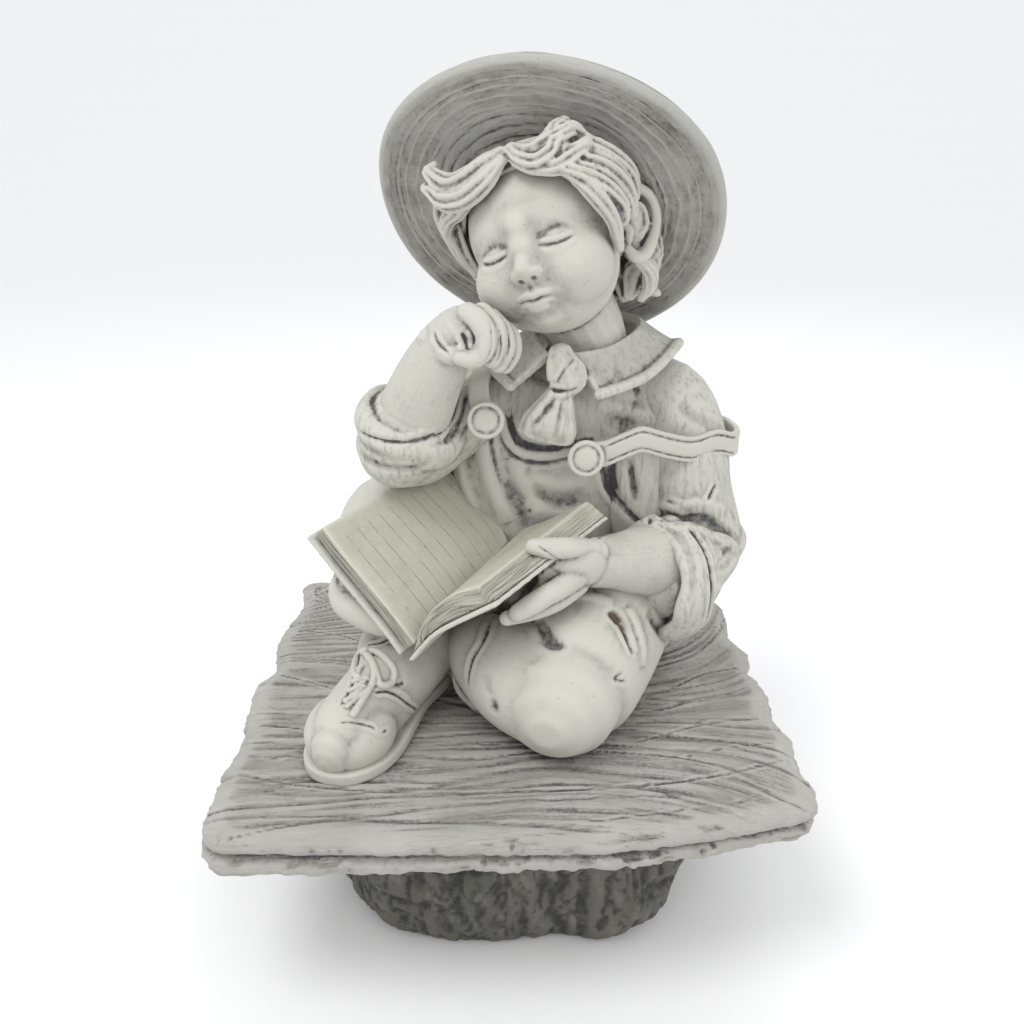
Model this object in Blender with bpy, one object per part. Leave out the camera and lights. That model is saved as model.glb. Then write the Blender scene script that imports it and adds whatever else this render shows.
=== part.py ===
import math

import bmesh
import bpy
import numpy as np
from mathutils import Matrix, Vector

# Driving sizes, in metres
stump_height = 0.131
stump_width = 0.316
stump_depth = 0.268
plank_width = 0.440
plank_depth = 0.396
plank_thickness = 0.030
figure_height = 0.492
seat_clearance = 0.0003
plank_clearance = 0.0003
voxel_size = 0.0026
figure_ratio = 0.0250

# The figure is drawn on a grid of 492 units from the plank to the top of the hat
unit = figure_height / 492.0
plank_top = stump_height + plank_clearance + plank_thickness
figure_floor = plank_top + seat_clearance


def at(x, y, z):
    """A point of the figure: x to the viewer's right, y to the back, z above the plank."""
    return Vector((x * unit, y * unit, figure_floor + z * unit))


def material(name, colour, roughness):
    made = bpy.data.materials.new(name)
    made.use_nodes = True
    shader = made.node_tree.nodes["Principled BSDF"]
    shader.inputs["Base Color"].default_value = (*colour, 1.0)
    shader.inputs["Roughness"].default_value = roughness
    shader.inputs["Metallic"].default_value = 0.0
    return made


def new_object(name, bm, finish=None):
    bmesh.ops.recalc_face_normals(bm, faces=bm.faces)
    mesh = bpy.data.meshes.new(name)
    bm.to_mesh(mesh)
    bm.free()
    made = bpy.data.objects.new(name, mesh)
    bpy.context.scene.collection.objects.link(made)
    if finish:
        mesh.materials.append(finish)
    return made


def section_frame(tangent, side):
    """Axes of a cross-section square to the tangent, with the first one nearest to side."""
    across = side - tangent * side.dot(tangent)
    across.normalize()
    return across, tangent.cross(across)


def loft(bm, stations, sides=20, side=(1, 0, 0), rounded=True):
    """A closed body through (x, y, z, half width, half depth) stations, with round ends."""
    side = Vector(side)
    points = [Vector(s[:3]) for s in stations]
    rings = []
    last = len(stations) - 1
    for i, (x, y, z, wide, deep) in enumerate(stations):
        before, after = points[max(i - 1, 0)], points[min(i + 1, last)]
        tangent = (after - before).normalized()
        steps = [0.0]
        if rounded and i == 0:
            steps = [-75, -50, -25, 0]
        if rounded and i == last:
            steps = [0, 25, 50, 75]
        for angle in steps:
            turn = math.radians(angle)
            reach = min(wide, deep) * math.sin(turn)
            shrink = math.cos(turn)
            rings.append((points[i] + tangent * reach, tangent, wide * shrink, deep * shrink))
    loops = []
    for centre, tangent, wide, deep in rings:
        across, up = section_frame(tangent, side)
        place = Matrix((across * wide * unit, up * deep * unit, tangent * unit)).transposed().to_4x4()
        place.translation = at(*centre)
        ring = bmesh.ops.create_circle(bm, segments=sides, radius=1.0, matrix=place)["verts"]
        loops.append(ring)
    for low, high in zip(loops, loops[1:]):
        for k in range(sides):
            n = (k + 1) % sides
            bm.faces.new((low[k], low[n], high[n], high[k]))
    bm.faces.new(loops[0][::-1])
    bm.faces.new(loops[-1])


def tube(bm, stations, sides=16):
    """A round limb through (x, y, z, radius) stations."""
    loft(bm, [(x, y, z, r, r) for x, y, z, r in stations], sides, side=(0.31, 0.55, 0.77))


def ball(bm, x, y, z, wide, deep=None, tall=None, turn=None, base=None):
    """An ellipsoid, turned by an Euler angle in degrees, in the figure's grid or in base's."""
    deep = wide if deep is None else deep
    tall = wide if tall is None else tall
    angles = [math.radians(a) for a in (turn or (0, 0, 0))]
    size = Matrix.Diagonal((wide, deep, tall, 1.0))
    rotation = Matrix.Rotation(angles[2], 4, "Z") @ Matrix.Rotation(angles[1], 4, "Y")
    rotation = rotation @ Matrix.Rotation(angles[0], 4, "X")
    place = Matrix.Translation((x, y, z)) @ rotation @ size
    world = Matrix.Translation(at(0, 0, 0)) @ Matrix.Scale(unit, 4)
    place = world @ (base @ place if base else place)
    bmesh.ops.create_icosphere(bm, subdivisions=4, radius=1.0, matrix=place)


def frame_of(origin, yaw, roll, pitch):
    """A local grid: yaw about Z, then roll about Y, then pitch about X, in degrees."""
    turn = Matrix.Rotation(math.radians(yaw), 4, "Z") @ Matrix.Rotation(math.radians(roll), 4, "Y")
    return Matrix.Translation(origin) @ turn @ Matrix.Rotation(math.radians(pitch), 4, "X")


def clear_scene():
    for old in list(bpy.data.objects):
        bpy.data.objects.remove(old, do_unlink=True)


def path_points(points, steps):
    """Evenly spaced stations along a smooth curve through the given stations."""
    rows = [np.array(p, float) for p in points]
    rows = [2 * rows[0] - rows[1]] + rows + [2 * rows[-1] - rows[-2]]
    made = []
    for a, b, c, d in zip(rows, rows[1:], rows[2:], rows[3:]):
        for k in range(steps):
            t = k / steps
            made.append(0.5 * (2 * b + (c - a) * t + (2 * a - 5 * b + 4 * c - d) * t ** 2
                               + (3 * b - a - 3 * c + d) * t ** 3))
    made.append(rows[-2])
    return [tuple(float(v) for v in row) for row in made]


def limb(bm, points, steps=3, sides=16):
    tube(bm, path_points(points, steps), sides)


def placed(base, points):
    """Stations given in a local grid, moved to the figure's grid."""
    return [(*(base @ Vector(p[:3])), *p[3:]) for p in points]


def add_torso(bm):
    side = (math.cos(math.radians(10)), math.sin(math.radians(10)), 0)
    loft(bm, path_points([
        (40, 94, 34, 86, 60), (38, 92, 66, 88, 60), (36, 86, 110, 84, 57), (34, 80, 150, 87, 54),
        (37, 75, 190, 88, 50), (48, 70, 222, 83, 46), (61, 66, 246, 66, 40), (66, 62, 262, 42, 34),
    ], 3), 32, side)
    limb(bm, [(66, 61, 255, 33), (62, 58, 285, 31), (48, 54, 315, 33)])
    # seat of the trousers, spread on the plank
    ball(bm, 50, 96, 36, 92, 68, 37)
    # the shirt between the raised arm and the bib
    limb(bm, [(-24, 70, 222, 22), (-36, 70, 190, 23), (-36, 72, 160, 24), (-28, 78, 130, 28)])
    # bib folds: hanging U shapes between the buttons
    for sag, low in ((26, 22), (44, 26), (62, 30)):
        limb(bm, [(-8, 24, 216 - sag * 0.5, 5), (12, 16, 196 - sag, 7), (40, 18, 190 - low - sag * 0.8, 7),
                  (66, 24, 192 - sag * 0.6, 5)])
    # rolled top hem of the bib
    limb(bm, [(-28, 14, 262, 5), (-15, 16, 250, 5), (-8, 17, 232, 6), (4, 18, 214, 6), (24, 19, 204, 6), (44, 18, 207, 6),
              (60, 12, 209, 5)])
    # side edge of the bib, running back under the arm
    limb(bm, [(62, 12, 200, 4), (70, 22, 180, 4), (88, 34, 158, 4), (104, 50, 140, 4)])


def slab(bm, near, far, thick):
    """A leaf stack through two matching polylines, near end and far end, with thickness downward."""
    near, far = [Vector(p) for p in near], [Vector(p) for p in far]
    count = len(near)
    grid = []
    for line, other in ((near, far), (far, near)):
        upper, lower = [], []
        for i, p in enumerate(line):
            along = line[min(i + 1, count - 1)] - line[max(i - 1, 0)]
            down = (far[i] - near[i]).cross(along).normalized()
            upper.append(bm.verts.new(at(*p)))
            lower.append(bm.verts.new(at(*(p - down * thick * (-1 if down.z < 0 else 1)))))
        grid.append((upper, lower))
    (nu, nl), (fu, fl) = grid
    for i in range(count - 1):
        bm.faces.new((nu[i], nu[i + 1], fu[i + 1], fu[i]))
        bm.faces.new((nl[i + 1], nl[i], fl[i], fl[i + 1]))
        bm.faces.new((nl[i], nl[i + 1], nu[i + 1], nu[i]))
        bm.faces.new((fl[i + 1], fl[i], fu[i], fu[i + 1]))
    bm.faces.new((nl[0], nu[0], fu[0], fl[0]))
    bm.faces.new((nu[-1], nl[-1], fl[-1], fu[-1]))


def sheet(bm, inner, outer, thick):
    """A turned-down leaf of cloth between two matching lines."""
    slab(bm, path_points(inner, 3), path_points(outer, 3), thick)


def ribbon(bm, line, half, thick, steps=4):
    """A flat strap along a line, its width upright."""
    line = path_points(line, steps)
    slab(bm, [(x, y, z - half) for x, y, z in line], [(x, y, z + half) for x, y, z in line], thick)


def add_collar(bm):
    # two turned-down leaves around the neck, pointed in front
    sheet(bm, [(64, 100, 302), (92, 90, 302), (104, 70, 301), (98, 46, 296), (74, 24, 288), (44, 10, 286)],
          [(72, 134, 266), (112, 114, 268), (136, 84, 276), (133, 56, 280), (104, 20, 265), (66, 1, 256)], 9)
    sheet(bm, [(64, 100, 302), (40, 92, 302), (26, 72, 300), (20, 48, 296), (22, 28, 290), (28, 12, 286)],
          [(62, 136, 266), (20, 118, 268), (-8, 84, 274), (-17, 50, 276), (-15, 24, 272), (-1, 4, 262)], 9)
    limb(bm, [(72, 131, 267, 4), (112, 111, 269, 4), (134, 82, 277, 4), (131, 55, 280, 4), (103, 20, 265, 5),
              (66, 3, 257, 5), (55, 4, 268, 4), (44, 9, 283, 4)], 4)
    limb(bm, [(62, 133, 267, 4), (20, 115, 269, 4), (-7, 83, 274, 4), (-15, 49, 276, 4), (-13, 24, 272, 5),
              (-1, 6, 263, 5), (12, 7, 270, 4), (28, 11, 284, 4)], 4)
    # kerchief knot and tail
    loft(bm, path_points([(36, 7, 287, 9, 7), (38, 4, 278, 13, 9), (41, 3, 269, 15, 10), (38, 3, 261, 11, 8)], 3), 16)
    loft(bm, path_points([(37, 3, 261, 8, 7), (34, 1, 249, 14, 8), (29, -1, 234, 21, 8), (26, 0, 223, 22, 5)], 3), 16,
         (1, 0, -0.25))
    for lean in (-1, 1):
        limb(bm, [(37, -3, 258, 3), (32 + lean * 6, -6, 244, 4), (27 + lean * 11, -7, 226, 3)], 3, 12)


def add_buttons_and_straps(bm):
    for x, y, z in ((56, 2, 206), (-20, 0, 238)):
        ball(bm, x, y, z, 15, 7, 15, (-10, 0, 8))
        ball(bm, x, y - 4, z, 11, 6, 11, (-10, 0, 8))
    # the fallen strap, draped across the upper arm
    ribbon(bm, [(58, 5, 206), (72, 4, 207), (88, 6, 213), (103, 9, 217), (122, 16, 210), (146, 25, 203), (168, 34, 206),
                (186, 49, 199), (192, 64, 200), (182, 92, 202), (150, 112, 202)], 10.5, 7)
    # the worn strap, over the shoulder and down the back
    ribbon(bm, [(-21, 3, 238), (-24, 10, 252), (-22, 24, 266), (-12, 46, 276), (4, 76, 272), (20, 106, 246)], 8, 8)
    limb(bm, [(18, 104, 248, 9), (30, 122, 210, 8), (46, 134, 160, 8), (60, 142, 118, 8)], 4)
    limb(bm, [(62, 142, 118, 8), (90, 134, 166, 8), (118, 118, 192, 8), (150, 108, 202, 8)], 4)
    # waistband seam at the back
    limb(bm, [(-26, 110, 96, 5), (10, 138, 92, 6), (60, 150, 90, 6), (104, 136, 92, 6), (130, 104, 96, 5)], 4)


def add_right_arm(bm):
    """The arm on the viewer's left, elbow on the raised knee, fist at the jaw."""
    limb(bm, [(8, 60, 242, 29), (-20, 50, 236, 31), (-50, 36, 225, 33), (-72, 24, 215, 36), (-84, 16, 213, 35)])
    # rolled cuff
    cuff = frame_of((-78, 8, 230), 0, 22, 17)
    ring(bm, cuff, 36, 33, 9, 12)
    limb(bm, [(-82, 16, 212, 28), (-78, 8, 231, 28.5), (-68, 0, 256, 27), (-57, -6, 280, 23.8), (-47, -10, 297, 20.5),
              (-37, -10, 305, 20.5)])
    # fist: back of the hand, four curled fingers, thumb
    ball(bm, -33, -8, 303, 25, 21, 20, (0, -18, 0))
    limb(bm, [(-32, -20, 313, 7.8), (-24, -28, 306, 8), (-19, -32, 294, 7.8), (-21, -33, 283, 7.4), (-30, -34, 277, 6.8)])
    limb(bm, [(-22, -12, 315, 7.8), (-13, -21, 303, 7.8), (-11, -24, 291, 7.6), (-15, -26, 278, 6.8)])
    limb(bm, [(-15, -4, 312, 7.6), (-7, -14, 300, 7.6), (-5, -18, 287, 7.4), (-10, -20, 275, 6.4)])
    limb(bm, [(-8, 6, 308, 7.4), (-1, -5, 298, 7.4), (0, -10, 286, 7), (-5, -13, 276, 6.2)])
    limb(bm, [(-61, -14, 295, 9.2), (-53, -22, 284, 8.8), (-42, -28, 282, 7.8), (-34, -28, 285, 6.2)])


def ring(bm, base, wide, deep, thick, tall, sides=28):
    """A rolled cuff: an oval ring around base's Z axis, thick across and tall along it."""
    loops = []
    for k in range(sides):
        turn = 2 * math.pi * k / sides
        outward = Vector((math.cos(turn), math.sin(turn), 0))
        middle = Vector((wide * math.cos(turn), deep * math.sin(turn), 0))
        loop = []
        for j in range(10):
            a = 2 * math.pi * j / 10
            spot = middle + outward * thick * math.cos(a) + Vector((0, 0, tall * math.sin(a)))
            loop.append(bm.verts.new(at(*(base @ spot))))
        loops.append(loop)
    for k in range(sides):
        near, far = loops[k], loops[(k + 1) % sides]
        for j in range(10):
            n = (j + 1) % 10
            bm.faces.new((near[j], near[n], far[n], far[j]))


def add_left_arm(bm):
    """The arm on the viewer's right, holding the book."""
    limb(bm, [(112, 80, 236, 32), (132, 74, 226, 37), (144, 66, 195, 39), (150, 54, 158, 37), (162, 42, 118, 35),
              (156, 30, 110, 35), (140, 14, 105, 35)])
    ball(bm, 170, 42, 112, 32, 30, 22, (0, -20, 0))
    for lift in (0, 14, 27):
        limb(bm, [(130 + lift * 0.3, 16, 146 + lift, 4), (154, 12, 140 + lift * 0.8, 5), (180, 24, 128 + lift * 0.5, 5),
                  (192, 48, 124 + lift * 0.3, 4)], 4)
    # the shirt between arm and chest
    limb(bm, [(100, 70, 225, 30), (108, 64, 185, 34), (112, 60, 140, 34)])
    cuff = frame_of((124, -2, 102), 32, -84, 0)
    ring(bm, cuff, 44, 41, 9, 19)
    ball(bm, 132, 4, 104, 40, 30, 42)
    limb(bm, [(146, 12, 112, 30), (116, -6, 120, 29), (92, -20, 126, 25), (72, -32, 131, 20), (60, -38, 134, 19)])
    ball(bm, 46, -48, 139, 24, 16, 21, (0, 12, 10))
    limb(bm, [(62, -46, 147, 10), (46, -56, 154, 8.4), (38, -60, 157, 8.2), (26, -62, 158, 8), (14, -63, 160, 6.2)])
    limb(bm, [(48, -56, 134, 10), (32, -69, 128, 8.6), (24, -74, 126, 8.2), (12, -80, 121, 8), (2, -84, 117, 6.6)])
    limb(bm, [(48, -52, 124, 9.5), (32, -64, 116, 8.2), (14, -72, 112, 7.4), (-6, -80, 110, 5.6)])


def add_legs(bm):
    # raised leg on the viewer's left: thigh, knee, shin and flared cuff
    limb(bm, [(40, 92, 66, 58), (0, 84, 84, 50), (-40, 74, 104, 45), (-78, 64, 126, 41), (-100, 58, 134, 38),
              (-107, 36, 128, 38), (-106, 16, 114, 40), (-102, 2, 99, 42)])
    ring(bm, frame_of((-100, -3, 92), 0, 8, 8), 41, 40, 8, 11)
    ball(bm, -100, -3, 98, 42, 42, 16)
    limb(bm, [(-97, -2, 90, 26), (-92, 3, 62, 25), (-90, 8, 40, 26)])
    # the lap under the raised thigh is filled with cloth
    ball(bm, -8, 52, 64, 58, 52, 70, (0, 30, 0))
    ball(bm, -42, 44, 86, 44, 40, 50, (0, 30, 0))
    # crossed leg: thigh, knee and shin lying on the plank
    limb(bm, [(92, 84, 60, 60), (82, 38, 62, 62), (66, -4, 56, 61), (51, -40, 48, 58), (41, -66, 45, 54), (36, -80, 43, 47)])
    limb(bm, [(30, -74, 43, 46), (6, -54, 44, 44), (-14, -28, 43, 37), (-28, -2, 38, 30)])
    # hem of the crossed leg, with the tucked foot behind it
    limb(bm, [(-10, 8, 78, 5), (-32, -8, 66, 6), (-44, -24, 44, 6), (-42, -34, 20, 6), (-30, -34, 6, 5)], 4)
    limb(bm, [(-30, 0, 30, 27), (-50, 20, 24, 22), (-62, 40, 20, 18)])
    # folds of the crossed knee
    limb(bm, [(84, -34, 98, 5), (100, -18, 80, 6), (104, -6, 54, 4)], 4)


def add_shoe(bm):
    turn = math.degrees(math.atan2(-75, 178))
    base = frame_of((-101, -38, 0), turn, 0, 0)
    # from the heel to the toe; y runs back along the shoe
    loft(bm, placed(base, path_points([
        (0, 84, 24, 26, 24), (0, 66, 34, 31, 34), (0, 36, 40, 31, 40), (2, 8, 35, 32, 35), (2, -22, 29, 34, 29),
        (0, -50, 26, 34, 26), (-1, -70, 24, 32, 23), (-1, -80, 20, 27, 18),
    ], 3)), 24)
    # sole
    sole(bm, base)
    # padded collar at the ankle
    ring(bm, base @ frame_of((1, 44, 74), 0, 0, -8), 25, 27, 7, 8, 24)
    ball(bm, 0, 44, 66, 27, 32, 16, base=base)
    # tongue, bow and lace rows
    ball(bm, 0, 14, 64, 18, 22, 12, (20, 0, 0), base=base)
    for k in range(3):
        limb(bm, placed(base, [(-20, 14 - k * 13, 58 - k * 6, 3.5), (0, 12 - k * 13, 66 - k * 7, 3.5),
                               (20, 14 - k * 13, 58 - k * 6, 3.5)]), 3)
    for side in (-1, 1):
        limb(bm, placed(base, [(0, 6, 72, 3.5), (side * 12, 14, 76, 3.5), (side * 20, 4, 68, 3.5), (side * 8, -2, 68, 3.5)]), 3)
        limb(bm, placed(base, [(0, 4, 70, 3), (side * 14, -10, 62, 3), (side * 22, -24, 50, 3)]), 3)
    # toe cap seam
    limb(bm, placed(base, [(-34, -32, 14, 2.5), (-25, -38, 40, 2.5), (0, -42, 53, 2.5), (25, -38, 40, 2.5),
                           (35, -32, 14, 2.5)]), 3)


def sole(bm, base):
    outline = [(0, 92), (18, 88), (28, 70), (29, 44), (27, 16), (31, -14), (35, -44), (32, -70), (19, -90), (0, -97),
               (-19, -92), (-33, -73), (-35, -46), (-30, -14), (-26, 16), (-28, 44), (-27, 70), (-18, 88)]
    loops = []
    for z, grow in ((0, 0), (9, 1), (11, -3)):
        loop = []
        for x, y in outline:
            reach = math.hypot(x, y) or 1
            loop.append(bm.verts.new(at(*(base @ Vector((x + grow * x / reach, y + grow * y / reach, z))))))
        loops.append(loop)
    count = len(outline)
    for low, high in zip(loops, loops[1:]):
        for k in range(count):
            n = (k + 1) % count
            bm.faces.new((low[k], low[n], high[n], high[k]))
    bm.faces.new(loops[0][::-1])
    bm.faces.new(loops[-1])


def block(bm, near, far, low_far, low_near):
    """A leaf stack between four matching lines."""
    loops = [[bm.verts.new(at(*p)) for p in corners] for corners in zip(near, far, low_far, low_near)]
    for low, high in zip(loops, loops[1:]):
        for k in range(4):
            n = (k + 1) % 4
            bm.faces.new((low[k], low[n], high[n], high[k]))
    bm.faces.new(loops[0][::-1])
    bm.faces.new(loops[-1])


def add_book(bm):
    near_left = [(-143, -41, 167), (-120, -56, 142), (-96, -71, 117), (-82, -80, 102), (-74, -85, 92)]
    far_left = [(-61, 52, 186), (-40, 44, 169), (-18, 34, 148), (-7, 26, 134), (-2, 20, 126)]
    near_right = [(-73, -85, 92), (-70, -86, 103), (-64, -89, 117), (-55, -94, 130), (-43, -99, 141), (-26, -104, 149)]
    far_right = [(-2, 20, 120), (2, 19, 130), (11, 15, 140), (27, 10, 149), (42, 4, 159), (60, -2, 171)]
    low_near = [(-76, -88, 84), (-68, -90, 96), (-59, -94, 108), (-47, -100, 119), (-32, -106, 130), (-13, -112, 143)]
    low_far = [(0, 16, 108), (8, 13, 118), (18, 9, 127), (34, 3, 137), (52, -4, 148), (73, -9, 161)]
    slab(bm, near_left, far_left, 15)
    block(bm, near_right, far_right, low_far, low_near)
    # covers, a little proud of the leaves
    for near, far, push in ((near_left, far_left, 13), (low_near, low_far, 1)):
        near, far = [Vector(p) for p in near], [Vector(p) for p in far]
        run = [(far[i] - near[i]).normalized() for i in range(len(near))]
        drop = []
        for i in range(len(near)):
            along = near[min(i + 1, len(near) - 1)] - near[max(i - 1, 0)]
            down = run[i].cross(along).normalized()
            drop.append(down * push * (1 if down.z < 0 else -1))
        slab(bm, [n + d - r * 4 for n, d, r in zip(near, drop, run)],
             [f + d + r * 4 for f, d, r in zip(far, drop, run)], 5)


head = frame_of((26, 40, 366), -22, -19, -8)


def add_head(bm):
    ball(bm, 0, 10, 12, 61, 66, 62, base=head)
    ball(bm, 0, -4, -20, 54, 54, 54, base=head)
    for side in (-1, 1):
        ball(bm, side * 27, -25, -30, 26, 25, 25, base=head)
        # closed eyelids under a soft brow
        ball(bm, side * 24, -45, -7, 13, 9, 8, (0, side * -6, 0), base=head)
        limb(bm, placed(head, [(side * 10, -53, 9, 4), (side * 24, -51, 13, 5), (side * 40, -41, 8, 4)]), 3)
        # ears
        limb(bm, placed(head, [(side * 56, 16, -30, 5), (side * 62, 24, -24, 6), (side * 67, 32, -8, 6),
                               (side * 65, 26, 8, 6), (side * 58, 16, 6, 5), (side * 56, 12, -6, 4)]), 3)
        ball(bm, side * 58, 22, -10, 4, 10, 15, base=head)
        # wings of the nose
        ball(bm, side * 7, -58, -29, 6, 6, 5, base=head)
    limb(bm, placed(head, [(0, -54, 0, 6), (0, -57, -12, 7), (0, -62, -23, 7), (0, -63, -27, 7)]), 3)
    limb(bm, placed(head, [(-15, -52, -46, 3), (-6, -58, -44, 5), (6, -58, -44, 5), (15, -52, -46, 3)]), 3)
    limb(bm, placed(head, [(-11, -53, -50, 4), (0, -57, -53, 6), (11, -53, -50, 4)]), 3)
    ball(bm, 0, -44, -64, 17, 15, 12, base=head)


def add_hair(bm):
    # swept cap under the hat
    ball(bm, 0, 26, 26, 65, 60, 56, base=head)
    locks = [
        [(2, -44, 62, 9), (-18, -44, 62, 10), (-38, -36, 58, 10), (-54, -32, 48, 9), (-66, -32, 44, 7), (-68, -30, 53, 5)],
        [(2, -52, 50, 7), (-12, -56, 40, 9), (-32, -50, 38, 9), (-50, -36, 34, 9), (-62, -28, 32, 7), (-66, -24, 24, 5)],
        [(-44, -38, 30, 8), (-54, -30, 16, 8), (-59, -20, 0, 8), (-60, -12, -14, 6)],
        [(-54, -16, 36, 10), (-64, -4, 16, 9), (-64, 6, -6, 8), (-60, 10, -22, 6)],
        [(2, -48, 58, 8), (18, -50, 52, 9), (34, -46, 46, 9), (48, -34, 46, 8), (54, -18, 56, 6), (46, -14, 66, 5)],
        [(2, -42, 64, 9), (20, -38, 66, 9), (36, -26, 68, 9), (50, -14, 60, 7)],
        [(40, -42, 42, 8), (54, -28, 30, 9), (63, -8, 18, 9), (65, 10, 4, 8), (61, 10, -12, 5)],
        [(48, -28, 48, 9), (62, -4, 40, 9), (66, 18, 26, 9), (66, 26, 10, 7)],
        [(56, 40, -10, 8), (58, 38, -26, 8), (50, 36, -40, 8), (40, 38, -50, 6)],
        [(48, 50, -8, 9), (50, 50, -26, 9), (42, 50, -42, 8)],
        [(-58, 40, -10, 8), (-60, 38, -26, 8), (-52, 36, -42, 7)],
    ]
    for lock in locks:
        limb(bm, placed(head, lock), 4, 12)
    # hair at the nape
    for k in range(7):
        x = -42 + k * 14
        limb(bm, placed(head, [(x, 66 - abs(x) * 0.3, 0, 12), (x * 1.02, 68 - abs(x) * 0.36, -24, 12),
                               (x * 0.96, 60 - abs(x) * 0.3, -42, 10), (x * 0.9, 52 - abs(x) * 0.2, -54, 6)]), 3, 12)


def hat_frame():
    crown = Vector((0.229, 0.778, 0.586)).normalized()
    across = crown.cross(Vector((0, 0, 1))).normalized()
    down = crown.cross(across)
    turn = Matrix((across, -down, crown)).transposed().to_4x4()
    return Matrix.Translation((27, 85, 382)) @ turn


def add_hat(bm):
    """A wide straw brim, dished like a saucer, with the crown on the back of the head."""
    base = hat_frame()
    section = [(30, 2), (62, 1), (84, 0), (104, -1), (120, -2), (129, -6), (134, -5), (134, 1), (127, 5), (108, 7),
               (86, 8), (68, 10), (62, 16), (60, 34), (56, 50), (44, 60), (24, 64), (0, 65)]
    turns = 48
    loops = []
    for k in range(turns):
        a = 2 * math.pi * k / turns
        loop = []
        for r, h in section[:-1]:
            wave = 1 + 0.012 * math.sin(3 * a + 0.5) + (0.03 * math.cos(a + 0.55) if r > 100 else 0)
            dip = (r / 134) ** 3 * (2.5 * math.sin(2 * a + 1.0) + 1.5 * math.sin(5 * a))
            loop.append(bm.verts.new(at(*(base @ Vector((r * wave * math.cos(a), r * wave * math.sin(a), h + dip))))))
        loops.append(loop)
    inner = bm.verts.new(at(*(base @ Vector((0, 0, 2)))))
    outer = bm.verts.new(at(*(base @ Vector((0, 0, 65)))))
    count = len(section) - 1
    for k in range(turns):
        near, far = loops[k], loops[(k + 1) % turns]
        for j in range(count - 1):
            bm.faces.new((near[j], near[j + 1], far[j + 1], far[j]))
        bm.faces.new((inner, near[0], far[0]))
        bm.faces.new((outer, far[-1], near[-1]))
    # hat band
    band = base @ Matrix.Translation((0, 0, 20))
    ring(bm, band, 61, 61, 4, 8, 36)


def build_figure():
    bm = bmesh.new()
    for part in (add_torso, add_collar, add_buttons_and_straps, add_right_arm, add_left_arm, add_legs, add_shoe,
                 add_book, add_head, add_hair, add_hat):
        part(bm)
    stone = material("boy_stone", (0.50, 0.50, 0.45), 0.85)
    figure = new_object("boy_figure", bm, stone)
    remesh = figure.modifiers.new("Fuse", "REMESH")
    remesh.mode = "VOXEL"
    remesh.voxel_size = voxel_size
    remesh.use_smooth_shade = True
    soften = figure.modifiers.new("Soften", "SMOOTH")
    soften.factor = 0.5
    soften.iterations = 2
    thin = figure.modifiers.new("Thin", "DECIMATE")
    thin.ratio = figure_ratio
    seat = figure.modifiers.new("Seat", "BOOLEAN")
    seat.operation = "DIFFERENCE"
    seat.solver = "EXACT"
    seat.object = build_seat_cutter()
    return figure


def build_seat_cutter():
    """A block under the figure that leaves it a flat underside."""
    bm = bmesh.new()
    size = Matrix.Diagonal((plank_width * 1.2, plank_depth * 1.2, 0.08, 1))
    bmesh.ops.create_cube(bm, size=1.0, matrix=Matrix.Translation((0, 0, figure_floor - 0.04)) @ size)
    block = new_object("seat_cutter", bm)
    block.hide_render = True
    block.display_type = "WIRE"
    return block


plank_outline = [
    (-213, -178), (-150, -186), (-60, -189), (17, -191), (90, -187), (160, -174), (206, -161), (217, -140), (213, -110),
    (219, -81), (211, -52), (217, -12), (210, 18), (216, 45), (207, 80), (213, 120), (209, 150), (188, 164), (100, 176),
    (0, 187), (-100, 197), (-188, 205), (-211, 196), (-206, 150), (-216, 83), (-209, 40), (-221, 0), (-214, -60),
    (-219, -120),
]
plank_layers = [(0.0, 9), (0.10, 4), (0.40, 1), (0.48, 5), (0.56, 1), (0.84, 0), (0.95, 2.6), (1.0, 7)]


def plank_edge(steps):
    """The plank's plan outline in metres, smoothed between the listed corners."""
    closed = plank_outline[-1:] + plank_outline + plank_outline[:2]
    low = np.min(np.array(plank_outline, float), axis=0)
    high = np.max(np.array(plank_outline, float), axis=0)
    span = high - low
    points = []
    for a, b, c, d in zip(closed, closed[1:], closed[2:], closed[3:]):
        a, b, c, d = [np.array(p, float) for p in (a, b, c, d)]
        for k in range(steps):
            t = k / steps
            spot = 0.5 * (2 * b + (c - a) * t + (2 * a - 5 * b + 4 * c - d) * t ** 2 + (3 * b - a - 3 * c + d) * t ** 3)
            points.append((spot[0] / span[0] * plank_width, spot[1] / span[1] * plank_depth))
    return points


def build_plank():
    bm = bmesh.new()
    edge = plank_edge(2)
    bottom = stump_height + plank_clearance
    loops = []
    count = len(edge)
    for level, inset in plank_layers:
        loop = []
        for k, (x, y) in enumerate(edge):
            before, after = edge[k - 1], edge[(k + 1) % count]
            outward = Vector((after[1] - before[1], before[0] - after[0])).normalized()
            chip = 1.2 * math.sin(2.3 * k + 9 * level) + 0.9 * math.sin(5.1 * k)
            step = -(inset + chip) * 0.001
            if y < 0 and x < -0.02 and level < 0.4:
                step += 0.003 * min(1.0, (-0.02 - x) / 0.08)
            loop.append(bm.verts.new((x + outward.x * step, y + outward.y * step, bottom + level * plank_thickness)))
        loops.append(loop)
    for low, high in zip(loops, loops[1:]):
        for k in range(count):
            n = (k + 1) % count
            bm.faces.new((low[k], low[n], high[n], high[k]))
    bm.faces.new(loops[0][::-1])
    bm.faces.new(loops[-1])
    bmesh.ops.triangulate(bm, faces=bm.faces)
    wood = material("plank_stone", (0.30, 0.29, 0.26), 0.9)
    return new_object("plank_slab", bm, wood)


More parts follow.
